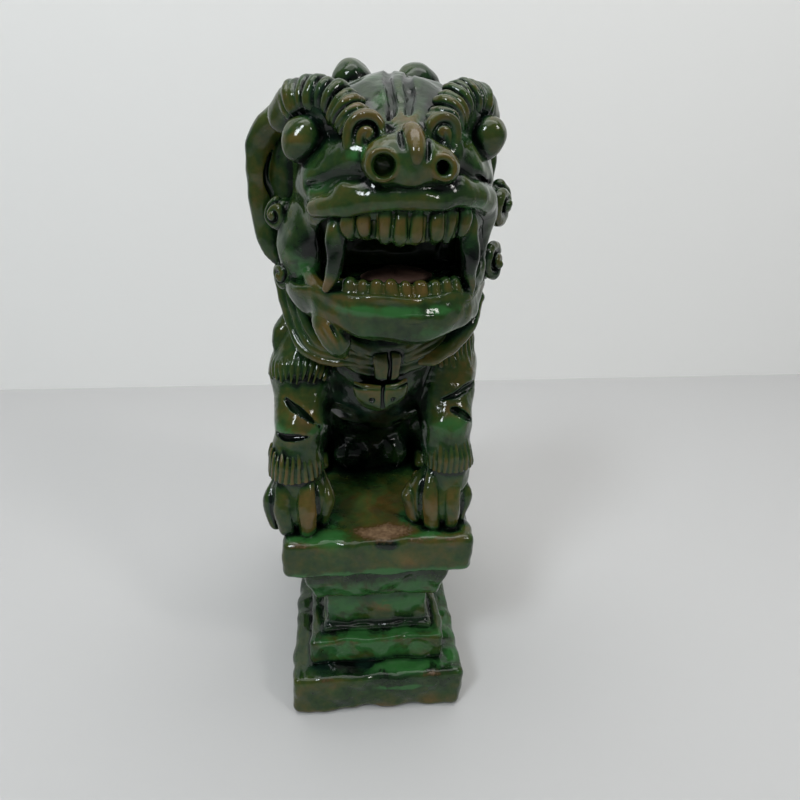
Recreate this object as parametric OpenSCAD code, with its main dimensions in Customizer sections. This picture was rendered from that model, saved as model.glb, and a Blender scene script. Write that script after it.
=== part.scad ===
// Glazed ceramic foo dog seated on a stepped, hollow plinth.
// +Z is up, the face looks towards -Y, and the origin is the centre of the plinth's foot.
// All sizes are in millimetres.

/* [Plinth] */
// Width of the base slab and of the top slab, along X
plinth_w = 74; // [60:1:90]
// Depth of the base slab and of the top slab, along Y
plinth_d = 122; // [100:1:150]
// Height of the base slab
base_h = 20; // [12:1:30]
// Height of the step on the base slab
step_h = 13.4; // [8:0.2:20]
// How far the step stands back from the base slab, on every side
step_inset = 8.2; // [4:0.2:12]
// Height of the narrow waist
waist_h = 21.2; // [12:0.2:30]
// How far the waist stands back from the base slab, on every side
waist_inset = 15.2; // [10:0.2:20]
// Height of the sloped moulding under the top slab
moulding_h = 19.4; // [10:0.2:26]
// How far the moulding stands back at its lower edge
moulding_inset_low = 11.2; // [8:0.2:16]
// How far the moulding stands back at its upper edge
moulding_inset_high = 7.4; // [4:0.2:12]
// Height of the top slab
slab_h = 17; // [10:0.5:24]
// Corner radius of the two slabs
slab_corner_r = 5; // [1:0.5:9]
// Thickness of the clay wall all round the plinth's hollow
plinth_wall = 8; // [5:0.5:10]
// Thickness of the clay left above the hollow in the top slab
slab_roof = 7; // [4:0.5:10]
// Radius of the vent from the plinth's hollow into the body
vent_r = 11; // [5:0.5:16]

/* [Body] */
// Thickness of the clay wall of the hollow body and head
shell_wall = 6; // [4:0.5:9]
// Radius of the chest
chest_r = 28; // [22:0.5:32]
// Height of the chest's centre
chest_z = 150; // [140:1:160]
// Distance of the chest's centre in front of the origin
chest_front = 20; // [10:1:26]
// Radius of the rump
rump_r = 30; // [24:0.5:34]
// Distance of the rump's centre behind the origin
rump_back = 27; // [18:1:30]
// Radius of each haunch
haunch_r = 24; // [18:0.5:28]

/* [Legs] */
// Distance of the forelegs from the middle plane
leg_x = 28; // [22:0.5:32]
// Radius of a foreleg at its middle
leg_r = 10.4; // [8:0.2:13]
// Height of the wrist, where the hair cuff sits
wrist_z = 120; // [112:1:128]
// Width of a front paw
paw_w = 25; // [18:0.5:30]
// Height of a front paw
paw_h = 25; // [18:0.5:30]
// Width of a rear paw
hind_paw_w = 19; // [14:0.5:24]
// Toes on each paw
toe_count = 4; // [3:1:5]
// Width of the cuts on the forelegs
cut_w = 2.2; // [1:0.1:3]

/* [Head] */
// Distance of the head's axis from the middle plane, towards +X
head_x = 5.5; // [0:0.5:10]
// Distance of the head's axis in front of the origin
head_front = 38; // [30:1:44]
// Turn of the face towards +X, in degrees
head_turn = 2; // [0:0.5:10]
// Radius of the skull
skull_r = 31; // [28:0.5:36]
// Height of the skull's centre
skull_z = 219; // [214:1:226]
// Radius of the muzzle, seen from above
muzzle_r = 33; // [28:0.5:36]
// Height of the upper lip's middle line
lip_z = 214; // [210:0.5:218]
// Height of the lower jaw's upper edge
jaw_z = 189; // [184:0.5:194]
// Radius of the lower jaw's underside
jaw_r = 36; // [32:0.5:40]
// Radius of an eyeball
eye_r = 6.2; // [4:0.2:8]
// Distance of each eye from the head's middle plane
eye_x = 28.4; // [24:0.2:32]
// Height of the eyes
eye_z = 231.5; // [226:0.5:236]
// Teeth in each row
tooth_count = 8; // [6:1:10]
// Width of one tooth of the upper row
tooth_w = 5.2; // [4:0.1:6]
// Length of the two long fangs
fang_l = 19; // [12:0.5:24]
// Radius of the larger cheek curls
curl_r = 8; // [5:0.5:10]
// Beads along one eyebrow
brow_beads = 7; // [5:1:11]

/* [Trim] */
// Radius of the collar ring
collar_r = 28; // [25:0.5:33]
// Thickness of the collar ribbon
collar_t = 3.4; // [2:0.2:5]
// Radius of the half-round bell
bell_r = 9.6; // [7:0.2:12]
// Length of the tail, up the back
tail_l = 66; // [40:1:80]

/* [Build] */
// Sub-part to draw, or all of them

/* [Hidden] */
$fn = 64;
eps = 0.01;
joint_swell = 1.05;
far = 300;
step_z = base_h;
waist_z = step_z + step_h;
moulding_z = waist_z + waist_h;
slab_z = moulding_z + moulding_h;
deck_z = slab_z + slab_h;
muzzle_y = -4;
chest = [0, -chest_front, chest_z];
neck = [4, -chest_front - 4, jaw_z];
neck_r = 25;
back_r = 25;
press = 2;
rump = [0, rump_back, deck_z + 28];
belly_y = 13;
belly_r = 19;
glaze_green = [0.05, 0.16, 0.08];
glaze_dark = [0.04, 0.09, 0.05];
glaze_amber = [0.33, 0.24, 0.09];
tongue_red = [0.35, 0.16, 0.10];

// Cone from one point to another, with flat ends.
module spoke(a, ra, b, rb) {
    v = b - a;
    l = norm(v);
    translate(a)
        rotate([0, acos(v[2] / l), atan2(v[1], v[0])])
            cylinder(h = l, r1 = ra, r2 = rb);
}

// Cones joined end to end, with a slightly larger ball at each joint.
// Each item is [point, radius].
module chain(items) {
    for (i = [0 : len(items) - 1])
        translate(items[i][0])
            sphere(r = items[i][1] * joint_swell);
    for (i = [0 : len(items) - 2])
        spoke(items[i][0], items[i][1], items[i + 1][0], items[i + 1][1]);
}

// Places its children in the head's own frame.
module in_head() {
    translate([head_x, -head_front, 0])
        rotate(head_turn)
            children();
}

// Upright block with rounded corners.
module rounded_block(w, d, h, r) {
    linear_extrude(h) {
        square([w - 2 * r, d], center = true);
        square([w, d - 2 * r], center = true);
        for (x = [-1, 1], y = [-1, 1])
            translate([x * (w / 2 - r), y * (d / 2 - r)])
                circle(r);
    }
}

// Block centred on the Z axis, standing on z = 0.
module block(w, d, h) {
    translate([-w / 2, -d / 2, 0])
        cube([w, d, h]);
}

// Part of a ring, with its opening towards +Y and a ball at each end.
module arc_roll(ring_r, tube_r, spread) {
    rotate(-90 - spread / 2)
        rotate_extrude(angle = spread)
            translate([ring_r, 0])
                circle(tube_r);
    for (s = [-1, 1])
        rotate(-90 + s * spread / 2)
            translate([ring_r, 0, 0])
                sphere(tube_r * joint_swell);
}

// Snail curl: two rings on a low drum and a bead, facing along +Z.
module snail(r) {
    tube = r * 0.26;
    cylinder(r = r - tube, h = tube * 1.5);
    rotate_extrude()
        translate([r - tube, 0])
            circle(tube);
    translate([0, 0, tube * 1.2])
        rotate_extrude()
            translate([r * 0.4, 0])
                circle(tube * 0.9);
    translate([0, 0, tube * 1.9])
        sphere(tube * 1.1);
}

// Snail curl at a point, facing along a direction.
module snail_at(p, dir, r) {
    l = norm(dir);
    translate(p)
        rotate([0, acos(dir[2] / l), atan2(dir[1], dir[0])])
            snail(r);
}

module base_slab() {
    color(glaze_dark)
        difference() {
            rounded_block(plinth_w, plinth_d, base_h, slab_corner_r);
            translate([0, 0, -eps])
                block(plinth_w - 2 * plinth_wall, plinth_d - 2 * plinth_wall, base_h + 1);
        }
}

module lower_step() {
    w = plinth_w - 2 * step_inset;
    d = plinth_d - 2 * step_inset;
    color(glaze_green)
        translate([0, 0, step_z])
            difference() {
                rounded_block(w, d, step_h, 2);
                translate([0, 0, -eps])
                    block(w - 2 * plinth_wall, d - 2 * plinth_wall, step_h + 1);
            }
}

module waist_block() {
    w = plinth_w - 2 * waist_inset;
    d = plinth_d - 2 * waist_inset;
    fillet = 2.4;
    color(glaze_green)
        translate([0, 0, waist_z])
            difference() {
                union() {
                    rounded_block(w, d, waist_h, 1.5);
                    rounded_block(w + 2 * fillet, d + 2 * fillet, fillet, 1.5);
                }
                translate([0, 0, -eps])
                    block(w - 2 * plinth_wall, d - 2 * plinth_wall, waist_h + 1);
            }
}

module upper_moulding() {
    w = plinth_w - 2 * moulding_inset_low;
    d = plinth_d - 2 * moulding_inset_low;
    flare = moulding_inset_low - moulding_inset_high;
    steps = 3;
    color(glaze_green)
        translate([0, 0, moulding_z])
            difference() {
                for (i = [0 : steps]) {
                    grow = 2 * flare * i / steps;
                    z = i * moulding_h / (steps + 1);
                    translate([0, 0, z])
                        rounded_block(w + grow, d + grow, moulding_h - z, 3);
                }
                translate([0, 0, -eps])
                    block(w - 2 * plinth_wall, d - 2 * plinth_wall, moulding_h + 1);
            }
}

module top_slab() {
    w = plinth_w - 2 * moulding_inset_high - 2 * plinth_wall;
    d = plinth_d - 2 * moulding_inset_high - 2 * plinth_wall;
    color(glaze_green)
        translate([0, 0, slab_z])
            difference() {
                rounded_block(plinth_w, plinth_d, slab_h, slab_corner_r);
                translate([0, 0, -eps])
                    block(w, d, slab_h - slab_roof);
                translate([0, rump_back, -eps])
                    cylinder(r = vent_r, h = slab_h + 1);
            }
}

// Neck, chest, back, rump and belly as one form; wall is taken off all round.
module torso(wall) {
    translate(chest)
        sphere(chest_r - wall);
    translate([neck[0] / 2, neck[1], chest_z])
        cylinder(h = jaw_z - chest_z, r = neck_r - wall);
    translate(rump)
        sphere(rump_r - wall);
    spoke(chest, back_r - wall, rump, back_r + 1 - wall);
    if (wall == 0)
        translate([0, belly_y, deck_z])
            cylinder(h = rump[2] - deck_z, r = belly_r);
}

// One half of the hollow body, cut along the middle plane: s is -1 or 1.
module body_half(s) {
    color(glaze_green)
        difference() {
            intersection() {
                torso(0);
                translate([s < 0 ? -far : 0, -far / 2, deck_z])
                    cube([far, far, jaw_z - deck_z]);
            }
            torso(shell_wall);
            in_head()
                translate([0, muzzle_y, jaw_z + 16])
                    sphere(jaw_r);
            translate([0, rump_back, deck_z - 5])
                cylinder(r = vent_r, h = 14);
        }
}

module body_left_half() {
    body_half(-1);
}

module body_right_half() {
    body_half(1);
}

// Rear thigh on one side, pressed a little into the rump.
module haunch(s) {
    color(glaze_green)
        difference() {
            union() {
                translate([s * 16, 26, deck_z + 23])
                    sphere(haunch_r);
                spoke([s * 24, 22, deck_z + 16], 13, [s * 28, 1, deck_z + 11], 9);
                translate([s * 28, 1, deck_z + 11])
                    sphere(9.6);
            }
            translate(rump)
                sphere(rump_r - press);
            translate([-far / 2, -far / 2, deck_z - far])
                cube([far, far, far]);
        }
}

module left_haunch() {
    haunch(-1);
}

module right_haunch() {
    haunch(1);
}

// Paw with upright toes: w and h are its size, y is the toes' front.
module paw(x, y, w, h) {
    toe = w / toe_count;
    color(glaze_amber)
        difference() {
            union() {
                translate([x, y + w * 0.5, deck_z + h * 0.42])
                    sphere(w * 0.46);
                for (i = [0 : toe_count - 1]) {
                    side = (i - (toe_count - 1) / 2) * toe;
                    back = pow(side / w, 2) * w * 0.5;
                    chain([
                        [[x + side, y + back + toe * 0.62, deck_z + h * 0.14], toe * 0.56],
                        [[x + side, y + back + toe * 0.60, deck_z + h * 0.46], toe * 0.58],
                        [[x + side * 0.92, y + back + toe * 1.1, deck_z + h * 0.82], toe * 0.52]
                    ]);
                }
            }
            translate([-far / 2, -far / 2, deck_z - far])
                cube([far, far, far]);
        }
}

module left_front_paw() {
    paw(-leg_x - 2.5, -57, paw_w, paw_h);
}

module right_front_paw() {
    paw(leg_x - 4, -57, paw_w, paw_h);
}

// Low rear paw with round toes.
module hind_paw(s) {
    toe = hind_paw_w / toe_count;
    color(glaze_amber)
        difference() {
            union() {
                translate([s * (leg_x + 1), 2, deck_z + 3])
                    sphere(hind_paw_w * 0.46);
                for (i = [0 : toe_count - 1])
                    translate([s * (leg_x + 1) + (i - (toe_count - 1) / 2) * toe, -6, deck_z + 4])
                        sphere(toe * 0.66);
            }
            translate([-far / 2, -far / 2, deck_z - far])
                cube([far, far, far]);
        }
}

module left_hind_paw() {
    hind_paw(-1);
}

module right_hind_paw() {
    hind_paw(1);
}

// Foreleg on one side, with two slanted cuts across its front.
module foreleg(s, foot_x) {
    color(glaze_green)
        difference() {
            chain([
                [[s * 25, -24, chest_z + 4], 13.5],
                [[s * leg_x, -34, (chest_z + wrist_z) / 2 + 2], leg_r + 0.8],
                [[foot_x, -43, wrist_z], leg_r - 1.4],
                [[foot_x, -44, wrist_z - 14], leg_r - 2]
            ]);
            translate(chest)
                sphere(chest_r - press);
            for (k = [0, 1])
                translate([s * leg_x, -46 - 4 * k, wrist_z + 21 - 13 * k])
                    rotate([0, s * (38 - 22 * k), 0])
                        cube([13, 6, cut_w], center = true);
        }
}

module left_foreleg() {
    foreleg(-1, -leg_x - 2.5);
}

module right_foreleg() {
    foreleg(1, leg_x - 0.5);
}

// Cuff of upright hair ribs round the wrist.
module leg_cuff(x) {
    ribs = 14;
    ring = leg_r - 1.6;
    color(glaze_amber)
        translate([x, -43.5, wrist_z - 6])
            difference() {
                union() {
                    cylinder(h = 9, r1 = ring + 1.4, r2 = ring);
                    for (i = [0 : ribs - 1])
                        rotate(i * 360 / ribs)
                            spoke([ring + 1, 0, 0], 2, [ring - 0.6, 0, 11], 1.6);
                }
                translate([0, 0, -3])
                    cylinder(h = 20, r = ring - 2);
            }
}

module left_leg_cuff() {
    leg_cuff(-leg_x - 2.5);
}

module right_leg_cuff() {
    leg_cuff(leg_x - 0.5);
}

// Fan of hair ribs over one shoulder.
module shoulder_tuft(s) {
    ribs = 7;
    color(glaze_green)
        for (i = [0 : ribs - 1]) {
            a = -62 + i * 16;
            dir = [s * cos(a), sin(a), 0];
            spoke([s * 25, -24, chest_z + 9] + dir * 11.5, 3,
                [s * 25, -25, chest_z - 4] + dir * 14, 2);
        }
}

module left_shoulder_tuft() {
    shoulder_tuft(-1);
}

module right_shoulder_tuft() {
    shoulder_tuft(1);
}

module tail_stem() {
    color(glaze_green)
        chain([
            [[0, 50, deck_z + 12], 7],
            [[0, 53, deck_z + 26], 8],
            [[0, 51, deck_z + tail_l * 0.72], 6.5],
            [[0, 45, deck_z + tail_l], 3]
        ]);
}

// Flame-shaped locks on both sides of the tail.
module tail_locks() {
    color(glaze_green)
        for (s = [-1, 1], k = [0 : 2]) {
            z = deck_z + 16 + 14 * k;
            chain([
                [[s * 6, 52, z], 4.6],
                [[s * (14 - 2 * k), 50, z + 9], 4],
                [[s * (13 - 2 * k), 47, z + 19], 1.8]
            ]);
        }
}

// Row of beads down the middle of the back.
module spine_ridge() {
    beads = 7;
    top = [1, 6, 176];
    low = [0, 48, deck_z + 50];
    color(glaze_amber)
        chain([
            for (i = [0 : beads - 1])
                [top + (low - top) * i / (beads - 1) - [0, 0, 3 * sin(i * 30)],
                    3.4 + 0.8 * (i % 2)]
        ]);
}

// Skull and upper muzzle as one form; wall is taken off all round.
module skull(wall) {
    translate([0, 4, skull_z])
        sphere(skull_r - wall);
    translate([0, muzzle_y, jaw_z - (wall > 0 ? 1 : 0)])
        cylinder(h = lip_z + 6 - jaw_z - wall, r = muzzle_r - wall);
    if (wall == 0)
        translate([0, muzzle_y, lip_z + 6])
            cylinder(h = 16, r1 = muzzle_r, r2 = 17);
    translate([-3, 13, jaw_z - (wall > 0 ? 1 : 0)])
        cylinder(h = 34 - wall, r1 = 27 - wall, r2 = 21.5 - wall);
}

// The gap between the rows of teeth, open at the front.
module mouth_gap() {
    translate([-27, -far, jaw_z - 1])
        cube([54, far - 8, lip_z - 6 - jaw_z + 1]);
}

module head_shell() {
    difference() {
        skull(0);
        skull(shell_wall);
        translate([-far / 2, -far / 2, jaw_z - far])
            cube([far, far, far]);
        mouth_gap();
    }
}

module face_shell() {
    color(glaze_green)
        in_head()
            intersection() {
                head_shell();
                translate([-far / 2, -far + 4, 0])
                    cube([far, far, far]);
            }
}

module back_head_shell() {
    color(glaze_green)
        in_head()
            intersection() {
                head_shell();
                translate([-far / 2, 4, 0])
                    cube([far, far, far]);
            }
}

module lower_jaw() {
    color(glaze_green)
        in_head()
            difference() {
                translate([0, muzzle_y, jaw_z + 16])
                    sphere(jaw_r);
                translate([0, muzzle_y, jaw_z + 16])
                    sphere(jaw_r - shell_wall - 1);
                translate([-far / 2, -far / 2, jaw_z])
                    cube([far, far, far]);
            }
}

module upper_lip() {
    color(glaze_green)
        in_head()
            translate([0, muzzle_y, lip_z])
                rotate([-7, 0, 0])
                    arc_roll(muzzle_r, 4.2, 132);
}

module lower_lip() {
    color(glaze_green)
        in_head()
            translate([0, muzzle_y, jaw_z - 1])
                arc_roll(muzzle_r - 1.6, 3.2, 116);
}

// Row of teeth on an arc, from z0 to z1; w is a tooth's width.
module tooth_row(ring_r, w, z0, z1) {
    step = 2 * asin(w / 2 / ring_r);
    color(glaze_amber)
        in_head()
            translate([0, muzzle_y, 0])
                for (i = [0 : tooth_count - 1])
                    rotate(-90 + (i - (tooth_count - 1) / 2) * step)
                        translate([ring_r, 0, 0])
                            spoke([0, 0, z0], w / 2 - 0.25, [0.6, 0, z1], w / 2 - 0.1);
}

module upper_teeth() {
    tooth_row(muzzle_r - 3.4, tooth_w, lip_z - 11, lip_z - 0.5);
}

module lower_teeth() {
    tooth_row(muzzle_r - 5, tooth_w * 0.86, jaw_z - 3, jaw_z + 5.4);
}

// Long curved fang on one side.
module fang(s) {
    top = lip_z - 4;
    color(glaze_amber)
        in_head()
            chain([
                [[s * 23, -26, top], 3.6],
                [[s * 24.2, -28, top - fang_l * 0.5], 3],
                [[s * 26, -27, top - fang_l], 1.3]
            ]);
}

module left_fang() {
    fang(-1);
}

module right_fang() {
    fang(1);
}

// Flat tongue on a low pad that rests in the jaw.
module tongue() {
    pad_z = jaw_z - 13;
    color(tongue_red)
        in_head()
            translate([0, -16, 0])
                difference() {
                    union() {
                        translate([0, 0, jaw_z + 2])
                            cylinder(h = 2.4, r = 11);
                        translate([0, 0, pad_z])
                            cylinder(h = jaw_z + 3 - pad_z, r = 8);
                    }
                    translate([0, -12, jaw_z + 4.4])
                        rotate([-90, 0, 0])
                            cylinder(h = 24, r = 0.8);
                }
}

// Nostril on one side: a raised rim of radius rim, or the hole inside it.
module nostril(x, rim, hole) {
    translate([x, hole ? -46 : -42.4, 225])
        rotate([-90, 0, 0])
            cylinder(h = hole ? 12 : 5, r = hole ? rim - 1 : rim);
}

module nose() {
    color(glaze_green)
        in_head()
            difference() {
                union() {
                    for (s = [-1, 1])
                        translate([s * 8.4, -36.2, 225])
                            sphere(5.8);
                    translate([0, -36, 226])
                        sphere(7);
                    spoke([0, -36.5, 226], 6, [0, -32, 235], 3.4);
                    nostril(-8, 4.3, false);
                    nostril(8.6, 3.5, false);
                }
                nostril(-8, 4.3, true);
                nostril(8.6, 3.5, true);
            }
}

module nose_bridge() {
    color(glaze_amber)
        in_head()
            chain([
                [[0, -42, 227], 2.4],
                [[0.4, -38.5, 233], 2.9],
                [[0.8, -31, 238], 2.7],
                [[0.8, -27, 240], 1.8]
            ]);
}

// Bulging eyeball in a thick lid ring.
module eye(s) {
    color(glaze_amber)
        in_head()
            translate([s * eye_x, -16, eye_z]) {
                sphere(eye_r);
                rotate([90, 0, s * 24])
                    translate([0, 0, -2.6])
                        rotate_extrude()
                            translate([eye_r - 0.4, 0])
                                circle(1.8);
            }
}

module left_eye() {
    eye(-1);
}

module right_eye() {
    eye(1);
}

// Beaded eyebrow that ends in a curl beside the nose's bridge; its balls are
// tilted, so that their seams lie off the joins between them.
module brow(s) {
    outer = [s * 30, -6, 235.5];
    crest = [s * 21, -12, 247];
    inner = [s * 10, -25, 235];
    color(glaze_amber)
        in_head() {
            for (i = [0 : brow_beads - 1]) {
                t = i / (brow_beads - 1);
                translate(pow(1 - t, 2) * outer + 2 * t * (1 - t) * crest + t * t * inner)
                    rotate([35, 40, 0])
                        sphere(6 - 1.6 * t);
            }
            snail_at([s * 12, -27, 231.5], [-s * 0.2, -1, 0.2], 5);
        }
}

module left_brow() {
    brow(-1);
}

module right_brow() {
    brow(1);
}

// Long oval turned about Z, of radius r and half its length.
module spindle(r, half) {
    rotate_extrude($fn = 48)
        polygon([for (a = [-90 : 15 : 90]) [r * cos(a), half * sin(a)]]);
}

// Drooping cupped ear: a long shell, hollow towards the front.
module ear(s, out) {
    color(glaze_green)
        in_head()
            translate([s * (33 + out), 13, 215])
                rotate([0, s * 6, s * 14])
                    difference() {
                        spindle(9.2, 27);
                        translate([-s * 1, -6.5, -1.2])
                            spindle(6.9, 22);
                    }
}

module left_ear() {
    ear(-1, 3);
}

module right_ear() {
    ear(1, -1);
}

module left_cheek_curl_upper() {
    color(glaze_green)
        in_head()
            snail_at([-34, -1, 209], [-1, -0.75, 0.1], curl_r * 0.85);
}

module left_cheek_curl_lower() {
    color(glaze_green)
        in_head()
            snail_at([-31, -4, 190], [-1, -0.6, -0.2], curl_r * 0.8);
}

module right_cheek_curl_upper() {
    color(glaze_green)
        in_head()
            snail_at([33.5, 4, 211], [1, -0.5, 0.1], curl_r);
}

module right_cheek_curl_middle() {
    color(glaze_green)
        in_head()
            snail_at([32, 6, 191], [1, -0.4, 0], curl_r * 0.9);
}

module right_cheek_curl_lower() {
    color(glaze_green)
        in_head()
            snail_at([24, 1, 177], [1, -0.5, -0.4], curl_r * 0.85);
}

// Hair knob on the crown.
module crown_curl(s) {
    color(glaze_green)
        in_head()
            chain([
                [[s * 11.5, 16, 245], 6],
                [[s * 12, 24, 248], 5.4],
                [[s * 15, 30, 243], 4]
            ]);
}

module left_crown_curl() {
    crown_curl(-1);
}

module right_crown_curl() {
    crown_curl(1);
}

// Rows of snail curls over the back of the head and down the nape.
module nape_curls() {
    r = curl_r * 0.94;
    color(glaze_green)
        in_head()
            for (col = [-1 : 1]) {
                a = 90 - col * 40;
                for (tilt = [38, 3]) {
                    dir = [cos(a) * cos(tilt), sin(a) * cos(tilt), sin(tilt)];
                    snail_at([0, 4, skull_z] + dir * (skull_r - 1.4), dir, r);
                }
                out = [cos(a), sin(a), 0];
                snail_at([-3, 13, jaw_z + 10] + out * 24.2, out, r);
            }
}

// Leaf of hair that hangs beside the chin.
module beard_lock(s) {
    color(glaze_green)
        in_head()
            chain([
                [[s * 23, -16, 182], 5],
                [[s * 21, -19, 175], 5.4],
                [[s * 18, -19, 167], 4],
                [[s * 17, -18, 162], 2]
            ]);
}

module left_beard_lock() {
    beard_lock(-1);
}

module right_beard_lock() {
    beard_lock(1);
}

module collar() {
    color(glaze_green)
        translate([neck[0] / 2, neck[1] - 1, 165])
            rotate([16, 0, 0])
                difference() {
                    cylinder(h = 8, r = collar_r, center = true);
                    cylinder(h = 9, r = collar_r - collar_t, center = true);
                }
}

// Upright loop of ribbon that the bell hangs from.
module bell_loop() {
    color(glaze_amber)
        for (s = [-1, 1])
            translate([1.5 + s * 2.4, -51, 155])
                cylinder(h = 9, r = 2.3);
}

// Half-round bell with a clapper slot and two dimples.
module bell() {
    color(glaze_amber)
        translate([0.5, -50, 154])
            difference() {
                union() {
                    difference() {
                        sphere(bell_r);
                        translate([-20, -20, 0])
                            cube([40, 40, 20]);
                    }
                    cylinder(h = 1.6, r = bell_r + 0.8);
                }
                translate([-0.8, -20, -20])
                    cube([1.6, 16, 19]);
                for (s = [-1, 1])
                    translate([s * 4, -bell_r + 2.2, -4])
                        sphere(1.2);
            }
}

base_slab();
lower_step();
waist_block();
upper_moulding();
top_slab();
body_left_half();
body_right_half();
left_haunch();
right_haunch();
left_hind_paw();
right_hind_paw();
left_foreleg();
right_foreleg();
left_leg_cuff();
right_leg_cuff();
left_front_paw();
right_front_paw();
left_shoulder_tuft();
right_shoulder_tuft();
tail_stem();
tail_locks();
spine_ridge();
face_shell();
back_head_shell();
lower_jaw();
upper_lip();
lower_lip();
upper_teeth();
lower_teeth();
left_fang();
right_fang();
tongue();
nose();
nose_bridge();
left_eye();
right_eye();
left_brow();
right_brow();
left_ear();
right_ear();
left_cheek_curl_upper();
left_cheek_curl_lower();
right_cheek_curl_upper();
right_cheek_curl_middle();
right_cheek_curl_lower();
left_crown_curl();
right_crown_curl();
nape_curls();
left_beard_lock();
right_beard_lock();
collar();
bell_loop();
bell();
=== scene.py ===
import math

import bpy
import numpy as np
from mathutils import Matrix, Vector


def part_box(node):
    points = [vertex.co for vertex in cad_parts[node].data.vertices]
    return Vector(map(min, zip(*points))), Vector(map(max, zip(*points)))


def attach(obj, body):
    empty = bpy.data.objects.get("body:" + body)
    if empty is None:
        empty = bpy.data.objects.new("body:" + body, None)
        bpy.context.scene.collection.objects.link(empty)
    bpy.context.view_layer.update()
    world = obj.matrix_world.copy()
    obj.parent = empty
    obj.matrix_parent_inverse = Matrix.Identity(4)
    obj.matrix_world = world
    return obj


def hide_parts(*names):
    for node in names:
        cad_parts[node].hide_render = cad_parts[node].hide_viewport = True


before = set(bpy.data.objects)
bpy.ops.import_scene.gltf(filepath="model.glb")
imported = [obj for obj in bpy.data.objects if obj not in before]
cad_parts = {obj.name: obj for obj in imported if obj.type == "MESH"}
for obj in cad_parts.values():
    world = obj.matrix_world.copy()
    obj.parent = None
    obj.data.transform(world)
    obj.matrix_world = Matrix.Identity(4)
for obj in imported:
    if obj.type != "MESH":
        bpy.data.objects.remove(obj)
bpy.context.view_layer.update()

MM = 0.001
MARGIN = 4.0   # mm that a form's field is worked out beyond its surface
FAR = 6.0      # mm, the field's value where no form is near


def new_object(name, data):
    made = bpy.data.objects.new(name, data)
    bpy.context.scene.collection.objects.link(made)
    return made


def box_mm(node):
    """Lowest and highest corner of a CAD node, in millimetres."""
    low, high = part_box(node)
    return np.array(low) / MM, np.array(high) / MM


# ---------------- distance fields

class Form:
    """Simple solids joined into one, each as (low corner, high corner, distance)."""

    def __init__(self, parts):
        self.parts = parts
        self.low = np.min([p[0] for p in parts], axis=0)
        self.high = np.max([p[1] for p in parts], axis=0)


def ball(c, r):
    c = np.array(c, float)

    def d(x, y, z):
        return np.sqrt((x - c[0]) ** 2 + (y - c[1]) ** 2 + (z - c[2]) ** 2) - r
    return Form([(c - r, c + r, d)])


def turned(x, y, z, c, turn):
    """Coordinates from c in the axes that are the columns of turn."""
    x, y, z = x - c[0], y - c[1], z - c[2]
    if turn is None:
        return x, y, z
    return tuple(turn[0][k] * x + turn[1][k] * y + turn[2][k] * z for k in range(3))


def spin(axis, degrees):
    """Rotation matrix about a row axis, for the turn argument."""
    return np.array(Matrix.Rotation(math.radians(degrees), 3, axis))


def reach_of(half, turn):
    """Half sizes of the upright box round a turned form."""
    return half if turn is None else np.abs(turn) @ half


def oval(place, radii):
    """Near distance to an ellipse or an ellipsoid about the origin."""
    k0 = np.sqrt(sum((p / r) ** 2 for p, r in zip(place, radii)))
    k1 = np.sqrt(sum((p / r ** 2) ** 2 for p, r in zip(place, radii)))
    return k0 * (k0 - 1) / np.maximum(k1, 1e-6)


def egg(c, r, turn=None):
    c, r = np.array(c, float), np.array(r, float)
    reach = reach_of(r, turn)

    def d(x, y, z):
        return oval(turned(x, y, z, c, turn), r)
    return Form([(c - reach, c + reach, d)])


def limb(a, ra, b, rb, flat=None):
    """Tapered capsule; flat is (direction, factor) that thins it along a direction."""
    a, b = np.array(a, float), np.array(b, float)
    v = b - a
    vv = max(float(v @ v), 1e-9)

    def d(x, y, z):
        x, y, z = x - a[0], y - a[1], z - a[2]
        h = np.clip((x * v[0] + y * v[1] + z * v[2]) / vv, 0, 1)
        x, y, z = x - v[0] * h, y - v[1] * h, z - v[2] * h
        if flat is not None:
            n, s = flat
            off = (x * n[0] + y * n[1] + z * n[2]) * (s - 1)
            x, y, z = x + n[0] * off, y + n[1] * off, z + n[2] * off
        return np.sqrt(x * x + y * y + z * z) - (ra + (rb - ra) * h)
    r = max(ra, rb)
    return Form([(np.minimum(a, b) - r, np.maximum(a, b) + r, d)])


def block(c, half, r=0.0, turn=None):
    c, half = np.array(c, float), np.array(half, float)
    reach = reach_of(half, turn)

    def d(x, y, z):
        x, y, z = turned(x, y, z, c, turn)
        q = [np.abs(p) - (s - r) for p, s in zip((x, y, z), half)]
        out = np.sqrt(sum(np.maximum(p, 0) ** 2 for p in q))
        return out + np.minimum(np.maximum(np.maximum(q[0], q[1]), q[2]), 0) - r
    return Form([(c - reach, c + reach, d)])


def drum(c, rx, ry, half, r):
    """Upright elliptical drum with rounded rims."""
    c = np.array(c, float)
    reach = np.array([rx, ry, half])

    def d(x, y, z):
        side = oval((x - c[0], y - c[1]), (rx, ry)) + r
        top = np.abs(z - c[2]) - half + r
        return (np.sqrt(np.maximum(side, 0) ** 2 + np.maximum(top, 0) ** 2)
                + np.minimum(np.maximum(side, top), 0) - r)
    return Form([(c - reach, c + reach, d)])


def ring(c, big, small, turn=None):
    """Torus whose axis is the local Z."""
    c = np.array(c, float)
    reach = reach_of(np.array([big + small, big + small, small]), turn)

    def d(x, y, z):
        x, y, z = turned(x, y, z, c, turn)
        return np.sqrt((np.sqrt(x * x + y * y) - big) ** 2 + z * z) - small
    return Form([(c - reach, c + reach, d)])


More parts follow.
